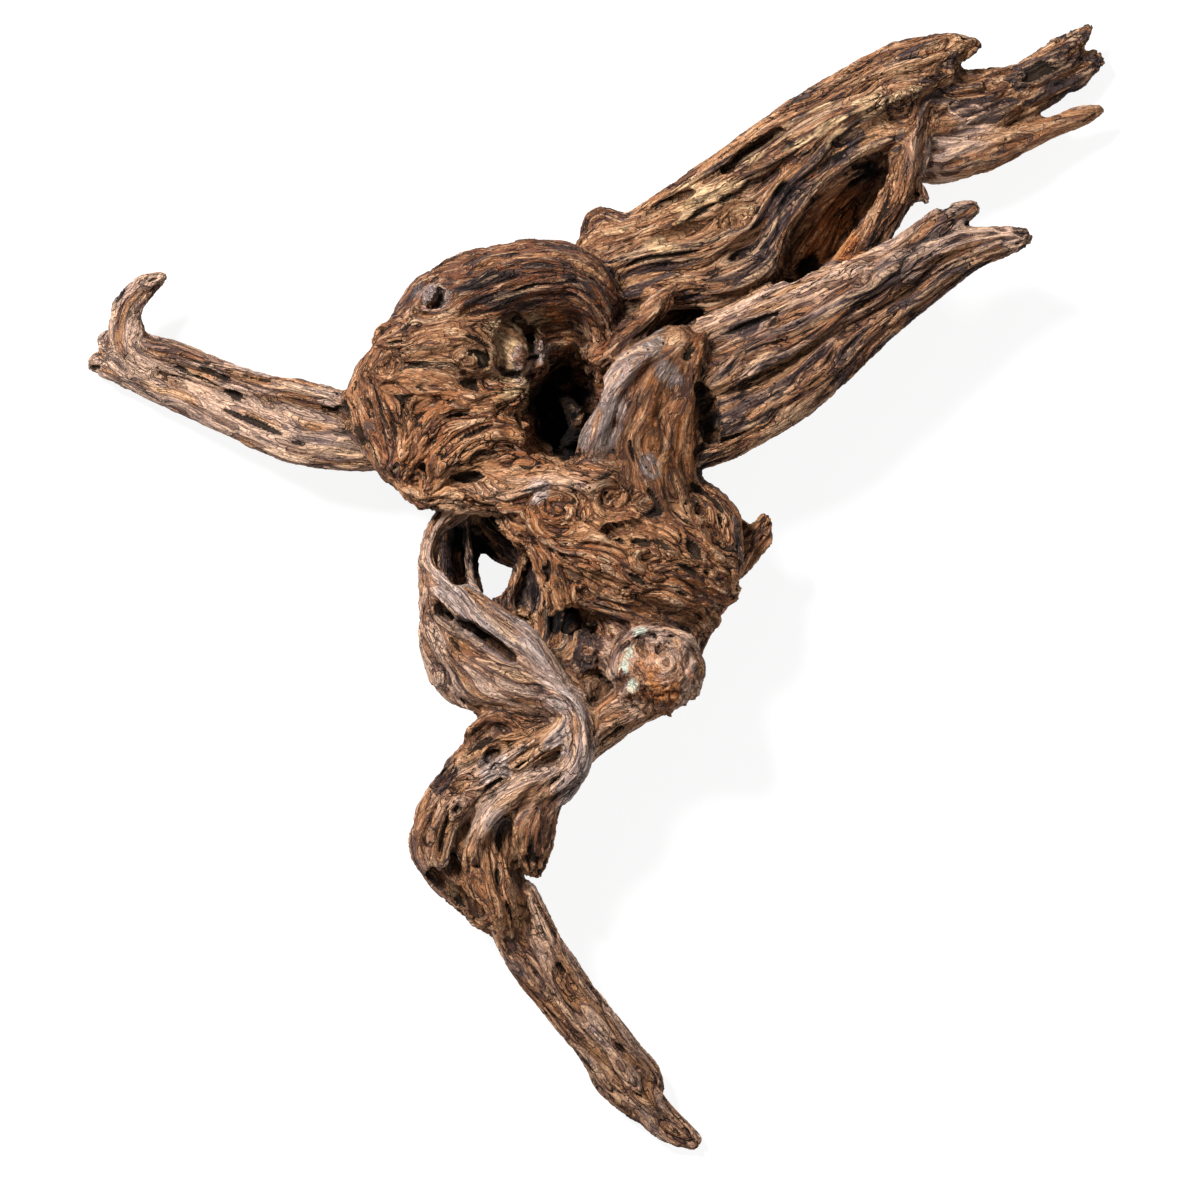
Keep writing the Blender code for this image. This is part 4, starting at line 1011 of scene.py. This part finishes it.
        # Ridge tops and step rims get the pale worn-edge colour: partly wear, partly painted highlight
        colour = self.mix(self.times(self.spread(self.height, 0.55, 1.0), 0.65), colour, c.worn[:])
        rim = self.times(self.spread(self.away(self.part, STEP_RIM), 0.09, 0.02),
                         self.spread(self.rough, 0.0, 1.0, 0.5, 1.0),
                         self.spread(self.coarse, 0.2, 0.9, 0.15, 0.75))
        return self.mix(rim, colour, c.worn[:])

    def shade(self, crease):
        """How bright the wood is: darker between fibres, as grain, and painted shade in creases, cracks and
        insect holes, over the dim strands and spots, in hollows and closed-in places, and black in the cave.
        """
        return self.times(
            self.spread(self.fine, 0.0, 1.0, 0.82, 1.13),
            self.spread(self.noise(self.place, 1.1, 2.0), 0.3, 0.7, 0.93, 1.06),
            self.spread(self.thread, 0.0, 1.0, 0.5, 1.08),
            self.spread(self.hair, 0.0, 1.0, 0.72, 1.05),
            self.spread(crease, 0.05, 0.8, 1.08, 0.07),
            *(self.spread(self.attribute(name), 0.0, 1.0, *ends) for name, ends in SHADES.items()),
            self.spread(self.holes, 0.0, 1.0, 1.0, 0.08))

    def carved(self, crease):
        """The height that the bump follows: fibres, threads and steps stand out, creases and holes go in."""
        fibres = self.math("ADD", self.scaled(self.fine, 0.2, self.times(self.coarse, 0.3)),
                           self.scaled(self.thread, 0.3, self.times(self.hair, 0.15)))
        carved = self.math("SUBTRACT", fibres, self.times(self.most(self.holes, crease), 1.2))
        return self.math("ADD", carved, self.times(self.spread(self.part, STEP_EDGE, 0.9), 0.8))


def plain_material(name):
    """A new material, with its node tree and its shader."""
    material = bpy.data.materials.new(name)
    material.use_nodes = True
    return material, material.node_tree, material.node_tree.nodes["Principled BSDF"]


def wood_material(colours):
    """Weathered wood. Fibres follow the grain attribute; the masks mix the colours; creases are darkened."""
    material, tree, shader = plain_material("weathered_wood")
    n = WoodNodes(tree, colours)
    crease = n.creases()
    bump = n.add("ShaderNodeBump", Height=n.carved(crease), Strength=1.0, Distance=BUMP_DEPTH * MM)
    n.set(shader.inputs["Base Color"], n.scale(n.colour(), n.shade(crease)))
    n.set(shader.inputs["Roughness"], n.spread(n.height, 0.2, 0.9, 0.62, 0.85))
    n.set(shader.inputs["Normal"], bump.outputs[0])
    shader.inputs["Specular IOR Level"].default_value = SHINE
    return material


# Settings

def colour_setting(name, description, value):
    return bpy.props.FloatVectorProperty(
        name=name, description=description, default=(*value, 1.0), size=4, subtype="COLOR", min=0, max=1)


def length_setting(name, description, value):
    return number_setting(name, description + ", in millimetres", value, min=0.01)


def number_setting(name, description, value, **more):
    return bpy.props.FloatProperty(name=name, description=description, default=value, **more)


class DriftwoodShape(bpy.types.PropertyGroup):
    fuse_voxel: length_setting("Fusing cell", "Cell in which the strands are fused", 1.6)
    skin_voxel: length_setting("Skin cell", "Cell of the finished skin", 1.0)
    swirl: number_setting("Swirl", "How far the grain wanders from the strands", 0.5, subtype="FACTOR")
    ridge_depth: length_setting("Ridge depth", "Depth of the creases between the ridges", 1.5)
    fine_depth: length_setting("Fine ridge depth", "Depth of the fine creases", 0.75)
    lump_depth: length_setting("Lump depth", "Height of the lumps on the rough strands", 2.2)
    layer_depth: length_setting("Layer depth", "Height of each step where a layer has flaked off", 0.5)
    crack_depth: length_setting("Crack depth", "Depth of the drying cracks and pits", 2.6)


class DriftwoodColours(bpy.types.PropertyGroup):
    tan: colour_setting("Tan", "Weathered wood in the light layers", (0.42, 0.218, 0.107))
    brown: colour_setting("Brown", "Weathered wood in the middle layers", (0.215, 0.087, 0.037))
    plum: colour_setting("Plum", "The darkest weathered layers", (0.07, 0.034, 0.027))
    amber: colour_setting("Amber", "Tint that the rough strands' wood is multiplied by", (1.0, 0.82, 0.66))
    # The worn edge colour is laid on ridge tops and step rims, partly as wear and partly as painted highlight
    worn: colour_setting("Worn edge", "Edges rubbed bare", (0.62, 0.39, 0.235))
    char: colour_setting("Charcoal", "The darkest streaks", (0.046, 0.031, 0.031))
    silver: colour_setting("Silver", "Bleached strands, light fibres", (0.5, 0.4, 0.37))
    ash: colour_setting("Ash", "Bleached strands, dark fibres", (0.19, 0.14, 0.13))
    ruddy: colour_setting("Ruddy", "Fresh orange wood", (0.56, 0.21, 0.06))
    rust: colour_setting("Rust", "Dark orange wood", (0.17, 0.05, 0.016))
    cream: colour_setting("Cream", "Pale rotten wood", (0.59, 0.385, 0.215))
    straw: colour_setting("Straw", "Pale wood's dark fibres", (0.28, 0.16, 0.075))
    bleached: colour_setting("Bleached", "Wood bleached by sun and sea", (0.61, 0.39, 0.275))
    dusk: colour_setting("Dusk", "Dark red-brown wood", (0.22, 0.074, 0.028))
    lichen: colour_setting("Lichen", "Pale green-white patches", (0.5, 0.52, 0.42))


class DriftwoodStage(bpy.types.PropertyGroup):
    distance: number_setting("Camera height", "Camera above the burl", 3.0, unit="LENGTH")
    lens: number_setting("Lens", "Focal length in millimetres", 180.0)
    floor: colour_setting("Floor", "Colour of the floor", (0.18, 0.18, 0.18))
    glow: number_setting("Floor glow", "Light that the floor gives off", 0.88)
    sky: number_setting("Surrounding light", "Light from all round", 0.28)
    key: number_setting("Key light", "Power of the key light", 135.0, unit="POWER")
    fill: number_setting("Fill light", "Power of the fill light", 9.0, unit="POWER")


# Operators

class DRIFTWOOD_OT_grow(bpy.types.Operator):
    """Grow the wood's whole skin, from which the pieces are cut"""
    bl_idname = "driftwood.grow"
    bl_label = "Grow the wood"

    def execute(self, context):
        shape = context.scene.driftwood_shape
        Skin.mesh = grow_skin(shape)
        weather(Skin.mesh, shape)
        return {"FINISHED"}


# Cutting planes: a point and an arrow, set so that no piece holds a loose crumb of its neighbour
PLANES = {
    "waist": ((-20, -52, 0), (0.0, -1.0, 0.0)),
    "shoulder": ((-128, 88, 0), (-1.0, 0.2, 0.0)),
    "neck": ((36.6, 133.5, 0), (0.87, 0.49, 0.0)),
    "fork": ((58.7, 147.7, 0), (-0.42, 0.91, 0.0)),
    "brow": ((0, 63, 0), (0.0, 1.0, 0.0)),
}
# Each piece is what lies on the given side of its planes: 1 where the plane's arrow points, -1 behind it
PIECES = {
    "wood_leg": (("waist", 1),),
    "wood_arm": (("waist", -1), ("shoulder", 1)),
    "wood_crown": (("waist", -1), ("shoulder", -1), ("neck", 1), ("fork", 1)),
    "wood_beam": (("waist", -1), ("shoulder", -1), ("neck", 1), ("fork", -1)),
    "wood_burl": (("waist", -1), ("shoulder", -1), ("neck", -1), ("brow", 1)),
    "wood_hip": (("waist", -1), ("shoulder", -1), ("neck", -1), ("brow", -1)),
}


class DRIFTWOOD_OT_pieces(bpy.types.Operator):
    """Cut the grown skin into its pieces and give them their wood"""
    bl_idname = "driftwood.pieces"
    bl_label = "Cut the pieces"

    def execute(self, context):
        if Skin.mesh is None:
            raise RuntimeError("grow the wood first")
        material = wood_material(context.scene.driftwood_colours)
        for name, sides in PIECES.items():
            planes = [(PLANES[plane][0], (Vector(PLANES[plane][1]) * -side).normalized())
                      for plane, side in sides]
            obj = cut_piece(name, planes)
            obj.data.materials.append(material)
            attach(obj, "root")
            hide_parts("driftwood")
        return {"FINISHED"}


# The stage, in metres. The floor lies just under the wood, so the two faces don't meet
FLOOR_HALF = 4.0
FLOOR_DROP = 0.0002
LIGHTS_AIM = (0.0, 0.05, 0.04)
# The place and the size of each light
KEY_LIGHT = ((-1.2, 1.3, 1.9), 0.7)
FILL_LIGHT = ((1.6, -0.9, 1.4), 1.8)
SENSOR_WIDTH = 36.0
CAMERA_REACH = 20.0
WHITE = (1.0, 1.0, 1.0, 1.0)


def area_light(name, place, size, power):
    light = bpy.data.lights.new(name, "AREA")
    light.shape = "DISK"
    light.size = size
    light.energy = power
    obj = bpy.data.objects.new(name, light)
    obj.location = place
    obj.rotation_euler = (Vector(LIGHTS_AIM) - Vector(place)).to_track_quat("-Z", "Y").to_euler()
    bpy.context.scene.collection.objects.link(obj)


def floor_paper(stage):
    """Pale paper that gives off a little light, so it shows white all over."""
    material, _, shader = plain_material("floor_paper")
    for name, value in (("Base Color", stage.floor[:]), ("Emission Color", WHITE),
                        ("Emission Strength", stage.glow), ("Roughness", 0.9), ("Specular IOR Level", 0.0)):
        shader.inputs[name].default_value = value
    return material


class DRIFTWOOD_OT_stage(bpy.types.Operator):
    """Make the floor, the soft lights and the camera that looks straight down"""
    bl_idname = "driftwood.stage"
    bl_label = "Set the stage"

    def execute(self, context):
        scene = context.scene
        stage = scene.driftwood_stage
        mesh = bpy.data.meshes.new("floor")
        corners = [(x * FLOOR_HALF, y * FLOOR_HALF, 0) for x, y in ((-1, -1), (1, -1), (1, 1), (-1, 1))]
        mesh.from_pydata(corners, [], [(0, 1, 2, 3)])
        mesh.materials.append(floor_paper(stage))
        floor = bpy.data.objects.new("floor", mesh)
        floor.location = (0, 0, -FLOOR_DROP)
        scene.collection.objects.link(floor)
        area_light("key_light", *KEY_LIGHT, stage.key)
        area_light("fill_light", *FILL_LIGHT, stage.fill)
        scene.world = bpy.data.worlds.new("studio")
        scene.world.use_nodes = True
        background = scene.world.node_tree.nodes["Background"]
        background.inputs["Color"].default_value = WHITE
        background.inputs["Strength"].default_value = stage.sky
        lens = bpy.data.cameras.new("camera")
        lens.lens = stage.lens
        lens.sensor_width = SENSOR_WIDTH
        lens.clip_end = CAMERA_REACH
        camera = bpy.data.objects.new("camera", lens)
        x, y, z = (value * MM for value in TABLE_PLACE)
        camera.location = (x, y, z + stage.distance)
        scene.collection.objects.link(camera)
        scene.camera = camera
        scene.view_settings.view_transform = "Standard"
        return {"FINISHED"}


class DRIFTWOOD_PT_panel(bpy.types.Panel):
    bl_label = "Driftwood"
    bl_space_type = "VIEW_3D"
    bl_region_type = "UI"
    bl_category = "Driftwood"

    def draw(self, context):
        for name in GROUPS:
            box = self.layout.box()
            settings = getattr(context.scene, name)
            for key in settings.__annotations__:
                box.prop(settings, key)
        for operator in OPERATORS:
            self.layout.operator(operator.bl_idname)


GROUPS = {"driftwood_shape": DriftwoodShape, "driftwood_colours": DriftwoodColours,
          "driftwood_stage": DriftwoodStage}
OPERATORS = (DRIFTWOOD_OT_grow, DRIFTWOOD_OT_pieces, DRIFTWOOD_OT_stage)


def register():
    for made in (*GROUPS.values(), *OPERATORS, DRIFTWOOD_PT_panel):
        bpy.utils.register_class(made)
    for name, group in GROUPS.items():
        setattr(bpy.types.Scene, name, bpy.props.PointerProperty(type=group))


def unregister():
    for name in GROUPS:
        delattr(bpy.types.Scene, name)
    for made in (DRIFTWOOD_PT_panel, *OPERATORS, *GROUPS.values()):
        bpy.utils.unregister_class(made)


def main():
    register()
    bpy.ops.driftwood.grow()
    bpy.ops.driftwood.pieces()
    bpy.ops.driftwood.stage()


if __name__ == "__main__":
    main()
